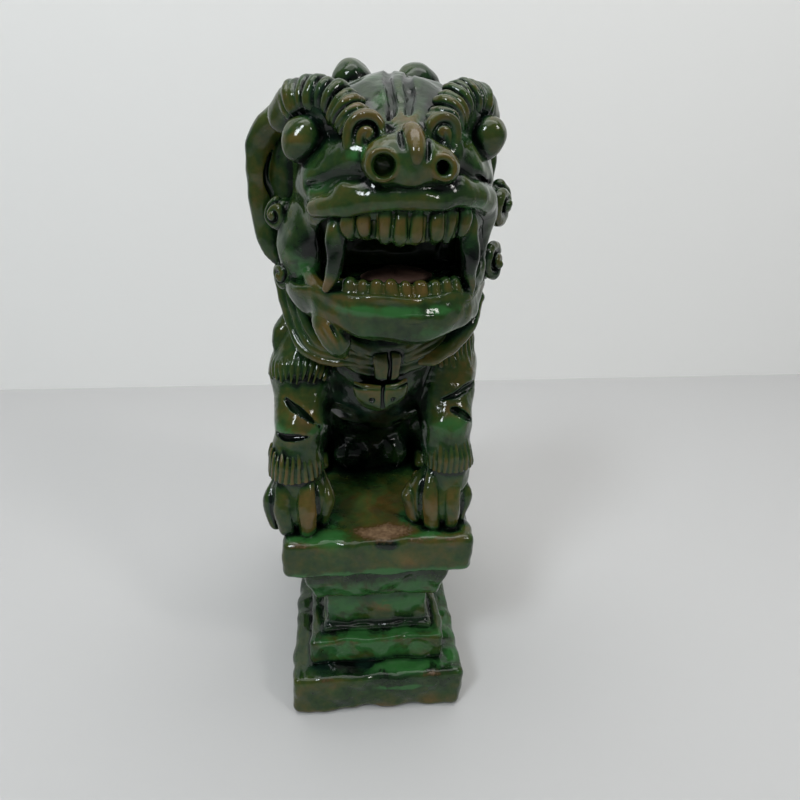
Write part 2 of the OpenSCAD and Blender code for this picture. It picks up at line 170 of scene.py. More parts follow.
def smooth_path(points, count):
    """Catmull-Rom curve through points; works on any number of columns."""
    p = np.array(points, float)
    p = np.vstack([2 * p[0] - p[1], p, 2 * p[-1] - p[-2]])
    spans = len(p) - 3
    out = []
    for t in np.linspace(0, spans, count):
        i = min(int(t), spans - 1)
        u = t - i
        a, b, c, d = p[i:i + 4]
        out.append(0.5 * (2 * b + (c - a) * u + (2 * a - 5 * b + 4 * c - d) * u * u
                          + (3 * b - a - 3 * c + d) * u ** 3))
    return np.array(out)


def chain(points, flat=None):
    """Tapered capsules from point to point; each point is x, y, z, radius."""
    parts = []
    for a, b in zip(points[:-1], points[1:]):
        parts += limb(a[:3], a[3], b[:3], b[3], flat).parts
    return Form(parts)


def rope(points, count=None, flat=None):
    """Tapered roll along a smooth curve; each point is x, y, z, radius."""
    return chain(smooth_path(points, count or 5 * len(points)), flat)


def frame_of(direction):
    """Axes with local Z along direction and X level, as the columns of a matrix."""
    z = np.array(direction, float)
    z /= np.linalg.norm(z)
    x = np.cross(np.array([0.0, 0.0, 1.0]), z)
    x /= np.linalg.norm(x)
    return np.column_stack([x, np.cross(z, x), z])


def snail(c, direction, r, turns, hand, start):
    """Tapered roll that winds in to its centre and rises there."""
    axes = frame_of(direction)
    pts = []
    steps = int(12 * turns) + 4
    for i in range(steps):
        t = i / (steps - 1)
        a = start + hand * 2 * math.pi * turns * t
        rad = r * (0.80 * (1 - t) ** 0.85)
        tube = r * (0.27 - 0.07 * t)
        p = axes @ np.array([rad * math.cos(a), rad * math.sin(a), r * 0.45 * t])
        pts.append([*(np.array(c) + p), tube])
    return chain(pts)


def smin(a, b, k):
    h = np.clip(0.5 + 0.5 * (b - a) / k, 0, 1)
    return b + (a - b) * h - k * h * (1 - h)


def smax(a, b, k):
    return -smin(-a, -b, k)


def wobble(x, y, z):
    """Small slow unevenness of a hand-made form, as shifted coordinates."""
    s = np.sin
    dx = 0.32 * s(0.21 * y + 0.17 * z + 1.3) + 0.16 * s(0.47 * z - 0.31 * x + 0.4)
    dy = 0.30 * s(0.19 * z - 0.23 * x + 2.1) + 0.16 * s(0.43 * x + 0.37 * z + 5.0)
    dz = 0.30 * s(0.22 * x + 0.16 * y + 4.2) + 0.16 * s(0.41 * y - 0.35 * x + 2.7)
    return x + dx, y + dy, z + dz


class Window:
    """Part of the shared lattice, with the coordinates of its points."""

    def __init__(self, low, high, step):
        self.step = step
        self.start = np.floor(np.array(low) / step).astype(int)
        count = np.ceil(np.array(high) / step).astype(int) - self.start + 1
        axes = [((np.arange(n) + s) * step).astype(np.float32)
                for n, s in zip(count, self.start)]
        self.xyz = wobble(*np.meshgrid(*axes, indexing="ij"))
        self.shape = tuple(count)

    def part(self, low, high):
        """Slices of the window between two corners, or None."""
        a = np.floor(np.array(low) / self.step).astype(int) - self.start
        b = np.ceil(np.array(high) / self.step).astype(int) - self.start + 1
        a, b = np.maximum(a, 0), np.minimum(b, self.shape)
        if (a >= b).any():
            return None
        return tuple(slice(i, j) for i, j in zip(a, b))


class Piece:
    """A named piece of clay: forms that are added, cut away or kept within."""

    def __init__(self, name, nodes, joint, step, look="green", floor=None):
        self.name, self.nodes, self.joint, self.step = name, nodes, joint, step
        self.look, self.floor = look, floor
        self.steps = []
        self.low = np.full(3, 1e9)
        self.high = np.full(3, -1e9)

    def add(self, form, k=0.6):
        self.steps.append(("add", form, k))
        self.low = np.minimum(self.low, form.low)
        self.high = np.maximum(self.high, form.high)
        return self

    def cut(self, form, k=0.5):
        self.steps.append(("cut", form, k))
        return self

    def keep(self, form, k=0.5):
        self.steps.append(("keep", form, k))
        return self

    def field(self, win, where):
        """The piece's distance field over the slices where of a window."""
        shape = tuple(s.stop - s.start for s in where)
        f = np.full(shape, FAR, np.float32)
        for kind, form, k in self.steps:
            got = spread(form, win, where)
            if got is None:
                if kind == "keep":
                    f[:] = FAR
                continue
            at, d = got
            if kind == "add":
                f[at] = smin(f[at], d, k)
            elif kind == "cut":
                f[at] = smax(f[at], -d, k)
            else:
                full = np.full(shape, FAR, np.float32)
                full[at] = d
                f = smax(f, full, k)
        return f


def overlap(first, second):
    """Slices that two sets of slices share, or None."""
    if first is None:
        return None
    both = tuple(slice(max(p.start, q.start), min(p.stop, q.stop)) for p, q in zip(first, second))
    return None if any(s.start >= s.stop for s in both) else both


def within(slices, outer):
    """The slices counted from the start of the outer ones."""
    return tuple(slice(s.start - o.start, s.stop - o.start) for s, o in zip(slices, outer))


def spread(form, win, where):
    """A form's field over where: (slices within where, values), or None."""
    at = overlap(win.part(form.low - MARGIN - 1, form.high + MARGIN + 1), where)
    if at is None:
        return None
    out = np.full([s.stop - s.start for s in at], FAR, np.float32)
    for low, high, dist in form.parts:
        near = overlap(win.part(low - MARGIN - 1, high + MARGIN + 1), at)
        if near is not None:
            mine = within(near, at)
            out[mine] = np.minimum(out[mine], dist(*(v[near] for v in win.xyz)))
    return within(at, where), out


# ---------------- meshing

CORNERS = [(i, j, k) for i in (0, 1) for j in (0, 1) for k in (0, 1)]
EDGES = [(a, b) for a in CORNERS for b in CORNERS
         if sum(q - p for p, q in zip(a, b)) == 1 and all(q >= p for p, q in zip(a, b))]


def surface_net(f):
    """Vertices, in lattice steps, and quads of the surface where f is zero."""
    n = f.shape
    inside = f < 0
    total = np.zeros([m - 1 for m in n], np.int8)
    for c in CORNERS:
        total += inside[tuple(slice(o, m - 1 + o) for o, m in zip(c, n))]
    active = (total > 0) & (total < 8)
    cells = np.argwhere(active)
    ids = np.full(active.shape, -1, np.int32)
    ids[active] = np.arange(len(cells))
    value = {c: f[tuple((cells + c).T)] for c in CORNERS}
    place = np.zeros((len(cells), 3))
    hits = np.zeros(len(cells))
    for a, b in EDGES:
        fa, fb = value[a], value[b]
        cross = (fa < 0) != (fb < 0)
        t = np.where(cross, fa / np.where(cross, fa - fb, 1), 0)
        point = np.array(a) + t[:, None] * (np.array(b) - np.array(a))
        place[cross] += point[cross]
        hits += cross
    verts = cells + place / hits[:, None]
    quads = []
    for axis in range(3):
        u, v = (axis + 1) % 3, (axis + 2) % 3
        lo = [slice(1, -1)] * 3
        lo[axis] = slice(0, n[axis] - 1)
        hi = list(lo)
        hi[axis] = slice(1, n[axis])
        sa, sb = inside[tuple(lo)], inside[tuple(hi)]
        for first, second, flip in ((sa, sb, False), (sb, sa, True)):
            edge = np.argwhere(first & ~second)
            edge[:, u] += 1
            edge[:, v] += 1
            ring_ids = []
            for du, dv in ((1, 1), (0, 1), (0, 0), (1, 0)):
                cell = edge.copy()
                cell[:, u] -= du
                cell[:, v] -= dv
                ring_ids.append(ids[tuple(cell.T)])
            quad = np.stack(ring_ids, 1)
            quads.append(quad[:, ::-1] if flip else quad)
    return verts, np.concatenate(quads)


def sample(f, p):
    """Field values at points given in lattice steps, between lattice points."""
    p = np.clip(p, 0, np.array(f.shape) - 1.001)
    i = p.astype(int)
    u = p - i
    out = np.zeros(len(p))
    for c in CORNERS:
        w = np.prod([u[:, k] if c[k] else 1 - u[:, k] for k in range(3)], axis=0)
        out += w * f[tuple((i + c).T)]
    return out


def settle(f, p):
    """Moves lattice-averaged vertices onto the surface itself."""
    for _ in range(2):
        slope = np.stack([sample(f, p + 0.5 * e) - sample(f, p - 0.5 * e) for e in np.eye(3)], 1)
        steep = np.maximum((slope ** 2).sum(1), 0.02)
        p = p - slope * np.clip(sample(f, p) / steep, -0.6, 0.6)[:, None]
    return p


def soften(values, quads, rounds):
    """Averages a value over neighbouring vertices."""
    a = quads.ravel()
    b = np.roll(quads, 1, axis=1).ravel()
    n = len(values)
    weight = np.bincount(a, minlength=n) + np.bincount(b, minlength=n)
    for _ in range(rounds):
        total = (np.bincount(a, values[b], minlength=n)
                 + np.bincount(b, values[a], minlength=n))
        values = 0.5 * values + 0.5 * total / np.maximum(weight, 1)
    return values


WAVES = []
for length, height in ((11.0, 0.16), (6.0, 0.07), (3.1, 0.014)):
    rng = np.random.default_rng(int(length * 10))
    for _ in range(9):
        v = rng.normal(size=3)
        WAVES.append((v / np.linalg.norm(v) * 2 * math.pi / length * rng.uniform(0.8, 1.25),
                      rng.uniform(0, 2 * math.pi), height * 0.5))


def unevenness(place):
    """Finger-worked unevenness of the clay, in mm along the surface's normal."""
    total = np.zeros(len(place))
    for wave, phase, height in WAVES:
        total += height * np.sin(place @ wave + phase)
    return total


PIECES = []
# Along with the glaze accidents, DABS carry painted highlights and painted shade.
DABS = []  # glaze accidents: (attribute, centre, radius, strength)


def piece(name, nodes=None, **facts):
    """A new piece, which replaces the CAD node of its own name unless nodes says otherwise."""
    made = Piece(name, [name] if nodes is None else nodes, **facts)
    PIECES.append(made)
    return made


def build(p):
    """Meshes one piece where it shows, blended with the pieces that touch it."""
    win = Window(p.low - MARGIN - 1.5, p.high + MARGIN + 1.5, p.step)
    everywhere = tuple(slice(0, n) for n in win.shape)
    own = p.field(win, everywhere)
    union = own.copy()
    other = np.full(win.shape, FAR, np.float32)
    for q in PIECES:
        if q is p:
            continue
        at = win.part(q.low - 2, q.high + 2)
        if at is None:
            continue
        theirs = q.field(win, at)
        union[at] = smin(union[at], theirs, min(p.joint, q.joint))
        other[at] = np.minimum(other[at], theirs)
    shell = union + np.maximum(0, own - other)
    verts, quads = surface_net(shell)
    verts = settle(shell, verts)
    normal = np.stack([sample(union, verts + e) - sample(union, verts - e)
                       for e in np.eye(3)], 1)
    normal /= np.maximum(np.linalg.norm(normal, axis=1), 1e-9)[:, None]
    pool = np.zeros(len(verts))
    rise = np.zeros(len(verts))
    for reach, share in ((1.0, 0.35), (2.2, 0.4), (3.8, 0.25)):
        step = normal * reach / p.step
        pool += share * np.clip(1 - sample(union, verts + step) / reach, 0, 1)
        rise += share * np.clip(1 + sample(union, verts - step) / reach, 0, 1)
    place = (verts + win.start) * p.step
    place = place + normal * unevenness(place)[:, None]
    if p.floor is not None:
        place[:, 2] = np.maximum(place[:, 2], p.floor)
    mesh = bpy.data.meshes.new(p.name)
    mesh.vertices.add(len(place))
    mesh.vertices.foreach_set("co", (place * MM).astype(np.float32).ravel())
    mesh.loops.add(quads.size)
    mesh.loops.foreach_set("vertex_index", quads.astype(np.int32).ravel())
    mesh.polygons.add(len(quads))
    mesh.polygons.foreach_set("loop_start", np.arange(0, quads.size, 4, dtype=np.int32))
    mesh.update(calc_edges=True)
    mesh.shade_smooth()
    marks = {"pool": soften(pool, quads, 2), "rise": soften(rise, quads, 2)}
    for key in ("amber", "emerald_run_and_light", "bare", "thick_glaze_and_shade"):
        amount = np.zeros(len(place))
        for what, centre, radius, strength in DABS:
            if what == key:
                gap = np.linalg.norm((place - centre) / radius, axis=1)
                amount = np.maximum(amount, strength * np.clip(1.6 - gap, 0, 1))
        marks[key] = amount
    for key, value in marks.items():
        mesh.attributes.new(key, "FLOAT", "POINT").data.foreach_set(
            "value", value.astype(np.float32))
    mesh.materials.append(LOOKS[p.look])
    made = new_object(p.name, mesh)
    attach(made, "root")
    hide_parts(*p.nodes)


# ---------------- glaze

class Paint:
    """One material, with short names for the shader nodes it is made of."""

    def __init__(self, name):
        self.material = bpy.data.materials.new(name)
        self.material.use_nodes = True
        self.nodes = self.material.node_tree.nodes
        self.links = self.material.node_tree.links
        self.shader = self.nodes["Principled BSDF"]
        self.coord = self.nodes.new("ShaderNodeTexCoord").outputs["Object"]

    def feed(self, node, sockets):
        """Sets or links a node's sockets, named or numbered."""
        for key, value in sockets.items():
            if isinstance(value, (int, float, tuple)):
                node.inputs[key].default_value = value
            else:
                self.links.new(value, node.inputs[key])
        return node

    def noise(self, scale, detail=3.0, rough=0.55, seed=0.0, distortion=0.0):
        n = self.nodes.new("ShaderNodeTexNoise")
        n.noise_dimensions = "4D"
        self.feed(n, {"Vector": self.coord, "W": seed, "Scale": scale, "Detail": detail,
                      "Roughness": rough, "Distortion": distortion})
        return n.outputs["Fac"]

    def math_(self, kind, a, b=0.0, c=0.0, clamp=False):
        n = self.nodes.new("ShaderNodeMath")
        n.operation = kind
        n.use_clamp = clamp
        return self.feed(n, {0: a, 1: b, 2: c} if kind == "MULTIPLY_ADD" else {0: a, 1: b}).outputs[0]

    def add(self, a, b, clamp=False):
        return self.math_("ADD", a, b, clamp=clamp)

    def times(self, a, b):
        return self.math_("MULTIPLY", a, b)

    def swing(self, value, width):
        """A noise's swing about its middle, over the given width."""
        return self.times(self.math_("SUBTRACT", value, 0.5), width)

    def step(self, value, low, high):
        n = self.nodes.new("ShaderNodeMapRange")
        n.interpolation_type = "SMOOTHSTEP"
        return self.feed(n, {"Value": value, "From Min": low, "From Max": high}).outputs["Result"]

    def mix(self, fac, a, b):
        n = self.nodes.new("ShaderNodeMix")
        n.data_type = "RGBA"
        return self.feed(n, {"Factor": fac, "A": a, "B": b}).outputs["Result"]

    def mark(self, key):
        n = self.nodes.new("ShaderNodeAttribute")
        n.attribute_name = key
        return n.outputs["Fac"]

    def bump(self, height, strength, distance):
        n = self.nodes.new("ShaderNodeBump")
        return self.feed(n, {"Height": height, "Strength": strength, "Distance": distance})

    def ramp(self, value, stops):
        """Colour along a row of (position, colour) stops."""
        ramp = self.nodes.new("ShaderNodeValToRGB")
        elements = ramp.color_ramp.elements
        elements[0].position = stops[0][0]
        elements[1].position = stops[-1][0]
        for pos, _ in stops[1:-1]:
            elements.new(pos)
        for e, (pos, tone) in zip(elements, stops):
            e.position, e.color = pos, tone
        return self.feed(ramp, {"Fac": value}).outputs["Color"]


# From thin and amber to pooled and nearly black.
GLAZE_TONES = [
    (0.00, (0.112, 0.072, 0.019, 1)),
    (0.17, (0.082, 0.062, 0.013, 1)),
    (0.35, (0.044, 0.056, 0.010, 1)),
    (0.53, (0.018, 0.044, 0.009, 1)),
    (0.74, (0.0060, 0.019, 0.0060, 1)),
    (1.00, (0.0012, 0.0028, 0.0020, 1)),
]


def glaze(name, shift=0.0, pooling=1.35, bare_all=False):
    """Lead glaze over brown clay: thin and amber on ridges, dark where it pools, with painted shade and
    painted highlights from the marks.
    """
    g = Paint(name)
    broad = g.noise(38, 4, 0.6, 1.0, 0.6)
    middle = g.noise(130, 4, 0.6, 2.0, 0.4)
    fine = g.noise(700, 3, 0.6, 3.0)
    # How thick the glaze lies, plus painted shade: 0 is thin and amber, 1 is pooled glaze and painted
    # shade, nearly black.
    thick = g.math_("MULTIPLY_ADD", g.math_("SUBTRACT", broad, 0.5), 0.95, 0.50 + shift)
    thick = g.add(thick, g.swing(middle, 0.72))
    thick = g.add(thick, g.swing(g.noise(360, 3, 0.6, 16.0), 0.42))
    thick = g.add(thick, g.times(g.mark("pool"), pooling))
    thick = g.math_("SUBTRACT", thick, g.times(g.mark("rise"), 0.42))
    thick = g.math_("SUBTRACT", thick, g.times(g.mark("amber"), 0.30))
    # The shade marks add painted shade as if the glaze were thicker: between the forelegs, in the mouth,
    # on the plinth's left side and in its corners.
    thick = g.add(thick, g.times(g.mark("thick_glaze_and_shade"), 0.60))
    colour = g.ramp(thick, GLAZE_TONES)
    # Emerald runs, partly painted highlights and painted light on the base's right side, then bluer
    # clouds, then specks.
    flow = g.add(g.noise(85, 4, 0.62, 7.0, 0.8), g.times(g.mark("emerald_run_and_light"), 0.13))
    run = g.times(g.step(flow, 0.47, 0.66), g.add(g.mark("emerald_run_and_light"), 0.16, clamp=True))
    run = g.times(run, g.step(g.mark("pool"), 0.90, 0.40))
    colour = g.mix(run, colour, (0.028, 0.116, 0.028, 1))
    teal = g.step(g.noise(55, 3, 0.6, 15.0, 0.5), 0.50, 0.68)
    colour = g.mix(g.times(teal, 0.45), colour, (0.009, 0.030, 0.020, 1))
    speck = g.step(g.noise(1500, 2, 0.5, 9.0), 0.66, 0.74)
    colour = g.mix(g.times(speck, 0.5), colour, (0.020, 0.022, 0.012, 1))
    # Bare clay, with a brown rim where the glaze runs out.
    clay_tone = g.mix(g.step(g.noise(520, 4, 0.65, 11.0), 0.35, 0.65),
                      (0.11, 0.060, 0.028, 1), (0.25, 0.16, 0.085, 1))
    edge = g.add(g.mark("bare"), g.swing(middle, 1.0))
    edge = g.add(edge, g.swing(fine, 0.8))
    bare = g.step(edge, 0.38, 0.92)
    colour = g.mix(g.step(edge, 0.22, 0.66), colour, (0.062, 0.036, 0.013, 1))
    if bare_all:
        bare = g.add(bare, 1.0, clamp=True)
        clay_tone = g.mix(g.noise(260, 4, 0.6, 12.0), (0.060, 0.030, 0.022, 1), (0.13, 0.070, 0.050, 1))
    colour = g.mix(bare, colour, clay_tone)
    rough = g.math_("MULTIPLY_ADD", fine, 0.10, 0.06)
    rough = g.add(rough, g.times(g.step(middle, 0.52, 0.75), 0.10))
    rough = g.add(rough, g.times(bare, 0.62), clamp=True)
    skin = g.bump(g.noise(210, 3, 0.5, 4.0), 0.32, 0.0009)
    grit = g.times(bare, g.noise(2200, 3, 0.7, 6.0))
    grain = g.bump(g.add(g.noise(900, 4, 0.6, 5.0), grit), 0.15, 0.00022)
    g.feed(grain, {"Normal": skin.outputs["Normal"]})
    g.shader.inputs["IOR"].default_value = 1.5
    g.shader.inputs["Specular IOR Level"].default_value = 0.36
    g.shader.inputs["Coat Weight"].default_value = 0.0 if bare_all else 0.10
    g.shader.inputs["Coat Roughness"].default_value = 0.04
    g.feed(g.shader, {"Base Color": colour, "Roughness": rough, "Normal": grain.outputs["Normal"]})
    return g.material


LOOKS = {
    "green": glaze("green_glaze", shift=-0.04),
    # The darker glaze of the body is painted shade on the chest and belly, which lie in shade between and
    # behind the forelegs.
    "dark": glaze("dark_glaze", shift=0.13),
    "amber": glaze("amber_glaze", shift=-0.10),
    "teeth": glaze("teeth_glaze", shift=-0.06, pooling=0.70),
    "clay": glaze("bare_clay", bare_all=True),
}

# ---------------- key places, in mm

deck = box_mm("top_slab")[1][2]
SIDES = ((-1, "left"), (1, "right"))
HEAD_X = 5.5
HEAD_Y = -38.0
HEAD_TURN = 2.0    # degrees about Z
HEAD_AXES = spin("Z", HEAD_TURN)
ON_DECK = block((0, 0, deck + 40), (70, 90, 40.2))   # all that stands on the plinth


def H(x, y, z, *rest):
    """A point of the head's own frame in the shared frame; extra values pass through."""
    c, s = math.cos(math.radians(HEAD_TURN)), math.sin(math.radians(HEAD_TURN))
    return (HEAD_X + c * x - s * y, HEAD_Y + s * x + c * y, z, *rest)


def hrope(points, count):
    return rope([H(*p) for p in points], count)


def hegg(at, r):
    return egg(H(*at), r, HEAD_AXES)


def hblock(at, half, r):
    return block(H(*at), half, r, HEAD_AXES)


def hdir(x, y, z):
    v = HEAD_AXES @ np.array([x, y, z], float)
    return v / np.linalg.norm(v)


# ---------------- plinth

def slab_form(node, r):
    low, high = box_mm(node)
    return block((low + high) / 2, (high - low) / 2, r)


def plinth():
    for name, r in (("base_slab", 3.2), ("lower_step", 2.0), ("top_slab", 3.0)):
        p = piece(name, joint=1.2, step=0.55, floor=0.0 if name == "base_slab" else None)
        p.add(slab_form(name, r), 0.5)
        low, high = box_mm(name)
        if name == "base_slab":
            for x, y, rx, rz in ((-4, low[1], 6.0, 3.0), (-15, low[1], 9, 1.5), (12, low[1], 8, 1.3),
                                 (high[0], 20, 4, 1.5), (low[0], -20, 4, 1.6), (-8, high[1], 9, 1.6)):
                p.cut(egg((x, y, low[2] - 0.3), (rx, 5, rz)), 1.2)
            p.cut(block((0, 0, low[2] + 6), (29, 53, 12), 2), 1.0)
    low, high = box_mm("waist_block")
    p = piece("waist_block", joint=1.4, step=0.55)
    mid, half = (low + high) / 2, (high - low) / 2
    p.add(block(mid, half - [2.6, 2.6, 0], 1.6), 0.5)
    p.add(block((mid[0], mid[1], low[2] + 1.2), (half[0] - 0.6, half[1] - 0.6, 1.2), 1.0), 2.4)
    low, high = box_mm("upper_moulding")
    p = piece("upper_moulding", joint=1.2, step=0.55)
    mid, half = (low + high) / 2, (high - low) / 2
    rows = 9
    for i in range(rows):
        t = i / (rows - 1)
        inset = 3.8 * (1 - t) ** 1.3
        z = low[2] + 1.6 + t * (high[2] - low[2] - 3.2)
        p.add(block((mid[0], mid[1], z), (half[0] - inset, half[1] - inset, 1.9), 1.6), 2.2)


# ---------------- body

LEG = {-1: [(108, -30.5, -44, 8.6), (118, -30.5, -43, 9.4), (129, -28.4, -40, 10.0),
            (138, -28.2, -35, 10.8), (150, -27.0, -28, 12.8), (158, -24.0, -22, 13.5)],
       1: [(108, 27.6, -44, 8.6), (118, 27.6, -43, 9.4), (129, 27.0, -40, 10.0),
           (138, 26.8, -35, 10.8), (150, 27.2, -28, 12.8), (158, 24.5, -22, 13.5)]}


def on_leg(s, z, angle=None, x=None, out=0.0):
    """Point on a foreleg's surface at height z; angle -90 faces forward, 0 outward."""
    rows = np.array(LEG[s])
    cx, cy, r = (np.interp(z, rows[:, 0], rows[:, k]) for k in (1, 2, 3))
    r += out
    if x is not None:
        return np.array([x, cy - math.sqrt(max(r * r - (x - cx) ** 2, 0.0)), z])
    a = math.radians(angle)
    return np.array([cx + s * r * math.cos(a), cy + r * math.sin(a), z])


def body():
    # Darker glaze: painted shade on the chest between the forelegs.
    p = piece("body", ["body_left_half", "body_right_half"], joint=2.2, step=0.6, look="dark")
    p.add(egg((1, -17, 150), (28, 27, 29)), 1)
    p.add(limb((1, -22, 160), 24, (4, -24, 186), 23), 6)
    p.add(limb((0, -12, 146), 24, (0, 24, 122), 27), 8)
    p.add(egg((0, 27, deck + 27), (27, 27, 30)), 6)
    p.add(drum((0, 13, deck + 14), 19, 19, 16, 4), 6)
    p.add(egg((-10, -2, deck + 6), (8, 7, 7)), 3)
    p.add(egg((9, -3, deck + 7), (7, 6, 8)), 3)
    p.keep(block((0, 0, 140), (120, 120, 49.2), 0), 0.4)


def hindquarter(s, side):
    p = piece(f"{side}_haunch", joint=2.4, step=0.55)
    p.add(egg((s * 23, 26, deck + 23), (16, 25, 24)), 1)
    p.add(limb((s * 26, 20, deck + 18), 13, (s * 28, 3, deck + 10), 8.5), 6)
    for k in range(3):
        p.cut(rope([(s * 35.5, 6 + 7 * k, deck + 30 + 3 * k, 0.9),
                    (s * 38.4, 14 + 8 * k, deck + 31 + 2 * k, 1.2),
                    (s * 38.2, 22 + 8 * k, deck + 26 - k, 0.6)]), 0.8)
    p.keep(ON_DECK, 0.4)
    p = piece(f"{side}_hind_paw", joint=1.0, step=0.4, look="amber")
    p.add(egg((s * 29, 3, deck + 3), (9, 11, 8)), 1)
    for i in range(4):
        x = s * 29 + (i - 1.5) * 4.6
        p.add(limb((x, -2, deck + 4.6), 2.7, (x, -7, deck + 2.6), 2.5), 0.7)
    p.keep(ON_DECK, 0.4)


def gouge(p, s, marks, r):
    """Cuts a tapering furrow into a foreleg through points given as (x, z)."""
    pts = [(*on_leg(s, z, x=x, out=0.4), r * k) for (x, z), k in zip(marks, (0.45, 1.0, 1.0, 0.4))]
    p.cut(rope(pts), 0.7)


def foreleg(s, side):
    p = piece(f"{side}_foreleg", joint=2.0, step=0.45)
    p.add(rope([(x, y, z, r) for z, x, y, r in reversed(LEG[s])], 26), 1)
    p.add(egg((s * 28.5, -25, 147), (10.5, 12, 14)), 4)
    p.add(egg(on_leg(s, 133, angle=-80, out=-6.5), (8.2, 8, 7.5)), 4)
    if s < 0:
        gouge(p, s, [(-33.4, 142.8), (-30, 140.2), (-25.3, 136.2), (-21.4, 132.8)], 1.5)
        gouge(p, s, [(-36.8, 130.6), (-33.8, 130.8), (-29.6, 131.0), (-25.6, 130.8)], 1.4)
    else:
        gouge(p, s, [(38.0, 146.0), (34.5, 145.0), (30.0, 143.6), (24.5, 142.2)], 1.4)
        gouge(p, s, [(27.2, 138.6), (29.2, 137.8), (32.6, 135.4), (35.6, 133.2)], 1.9)


def leg_cuff(s, side):
    """A flaring skirt of close ribs of hair with a cut lower edge."""
    foot = LEG[s][0][1]
    low, high, wide = (113.2, 123.6, 9.2) if s < 0 else (115.4, 126.0, 8.5)
    cuff = piece(f"{side}_leg_cuff", joint=0.7, step=0.3, look="amber")
    cx, cy = foot + 0.5 * s - 0.4, -43.9
    cuff.add(limb((cx, cy + 0.6, high - 3), wide - 1.6, (cx, cy, low + 4.5), wide - 1.2), 0.5)
    ribs = 26
    for i in range(ribs):
        a = 2 * math.pi * (i + 0.3) / ribs
        top = high + 0.9 * math.sin(2.3 * i)
        c, t = math.cos(a), math.sin(a)
        cuff.add(rope([
            (cx + (wide - 1.0) * c, cy + 0.8 + (wide - 1.0) * t, top, 0.6),
            (cx + (wide - 0.2) * c, cy + 0.2 + (wide - 0.2) * t, (top + low) / 2 + 1, 1.1),
            (cx + (wide + 0.3) * c, cy + (wide + 0.3) * t, low + 1.5, 1.15),
            (cx + (wide + 0.4) * c, cy + (wide + 0.4) * t, low - 1.0, 1.15)], 7), 0.3)
    cuff.cut(block((cx, cy, low - 10), (20, 20, 10), 0.3), 0.5)


def front_paw(s, side):
    """Four tall toes like the segments of a melon."""
    if s < 0:
        x0, toes = -30.5, [(-10.6, 3.2, 19), (-5.5, 3.8, 24), (3.5, 4.1, 24), (10.8, 3.1, 19)]
        clefts = [(-8.6, 0.9), (-1.1, 1.6), (7.6, 1.5)]
    else:
        x0, toes = 24.2, [(-10.9, 3.1, 16), (-3.8, 3.9, 24), (4.9, 3.6, 24), (10.2, 3.1, 19)]
        clefts = [(-7.6, 1.6), (0.7, 1.5), (8.2, 0.9)]
    p = piece(f"{side}_front_paw", joint=0.9, step=0.34, look="amber")
    p.add(egg((x0, -43.5, deck + 9), (12.2, 10.6, 13.5)), 0.5)
    for t, w, tall in toes:
        back = 0.055 * t * t
        p.add(rope([
            (x0 + 0.72 * t, -46.0 + back, deck + tall, w * 0.7),
            (x0 + 0.92 * t, -50.6 + back, deck + 0.72 * tall, w * 0.96),
            (x0 + t, -52.9 + back, deck + 9.5, w * 1.08),
            (x0 + 0.86 * t, -53.2 + 0.8 * back, deck + 1.8, w * 0.85)], 14), 0.3)
    for t, w in clefts:
        back = 0.055 * t * t
        p.cut(rope([
            (x0 + 0.76 * t, -49.0 + back, deck + 23.5, w * 0.7),
            (x0 + 0.95 * t, -53.4 + back, deck + 17.5, w), (x0 + t, -55.6 + back, deck + 10, w * 1.1),
            (x0 + t, -55.6 + back, deck + 1, w * 1.1)], 14), 0.6)
    p.keep(block((0, 0, deck + 40), (70, 90, 40.25), 0), 0.4)


def shoulder_tuft(s, side):
    """Fringe of hair across the shoulder."""
    tuft = piece(f"{side}_shoulder_tuft", joint=0.8, step=0.32)
    first, last, count, z0, z1 = ((-122, -12, 14, 158.5, 149.6) if s < 0
                                  else (-96, -8, 11, 166.0, 154.0))
    for i in range(count):
        a = first + (last - first) * i / (count - 1)
        lean = 0.7 * math.sin(2.1 * i)
        zs = (z0 + 0.5 * lean, (z0 + z1) / 2 + 1, z1 + lean)
        pts = []
        swell = -0.7 - 2.2 * math.sin(math.radians(a))
        for z, out, r in zip(zs, (-1.0, 0.5, 0.2), (0.8, 1.2, 0.7)):
            pts.append((*on_leg(s, z, angle=a, out=out + swell), r))
        tuft.add(rope(pts, 8), 0.3)


def legs():
    for s, side in SIDES:
        foreleg(s, side)
        leg_cuff(s, side)
        front_paw(s, side)
        shoulder_tuft(s, side)


def tail():
    p = piece("tail_stem", joint=1.4, step=0.5)
    p.add(rope([(0, 47, deck + 8, 7), (0, 52, deck + 22, 8.4), (0, 53, deck + 38, 8),
                (0, 51, deck + 52, 6), (0, 45.5, deck + 66, 1.6)], 20), 1)
    for x in (-3.4, 0, 3.4):
        p.cut(rope([(x * 0.8, 60.2, deck + 18, 0.5), (x, 61.2, deck + 34, 1.0),
                    (x * 0.5, 57.5, deck + 52, 0.5)], 9), 0.7)
    p = piece("tail_locks", joint=1.0, step=0.5)
    for s in (-1, 1):
        for k in range(3):
            z = deck + 14 + 14 * k
            w = 1 - 0.12 * k
            p.add(rope([(s * 5, 52, z, 4.6), (s * 12 * w, 53, z + 5, 4.4),
                        (s * 16 * w, 50, z + 13, 3.2), (s * 12.5 * w, 47, z + 19, 1.0)], 14), 0.5)
    p = piece("spine_ridge", joint=1.2, step=0.45, look="amber")
    low, high = box_mm("spine_ridge")
    for i in range(11):
        t = i / 10
        y = low[1] + 5 + t * (high[1] - low[1] - 10)
        z = high[2] - 5 - t * (high[2] - low[2] - 9) + 2.2 * math.sin(math.pi * t)
        p.add(egg((0.6 * (1 - t), y, z), (3.4, 3.0, 3.6)), 0.5)


# ---------------- head

SKULL = (0, 2, 219.5)
SKULL_WIDE, SKULL_TALL = 33, 31


def skull_top(y, x):
    """Height of the skull above a place of the head's own frame."""
    k = 1 - ((y - SKULL[1]) / SKULL_WIDE) ** 2 - (x / SKULL_WIDE) ** 2
    return SKULL[2] + SKULL_TALL * math.sqrt(max(k, 0.0))


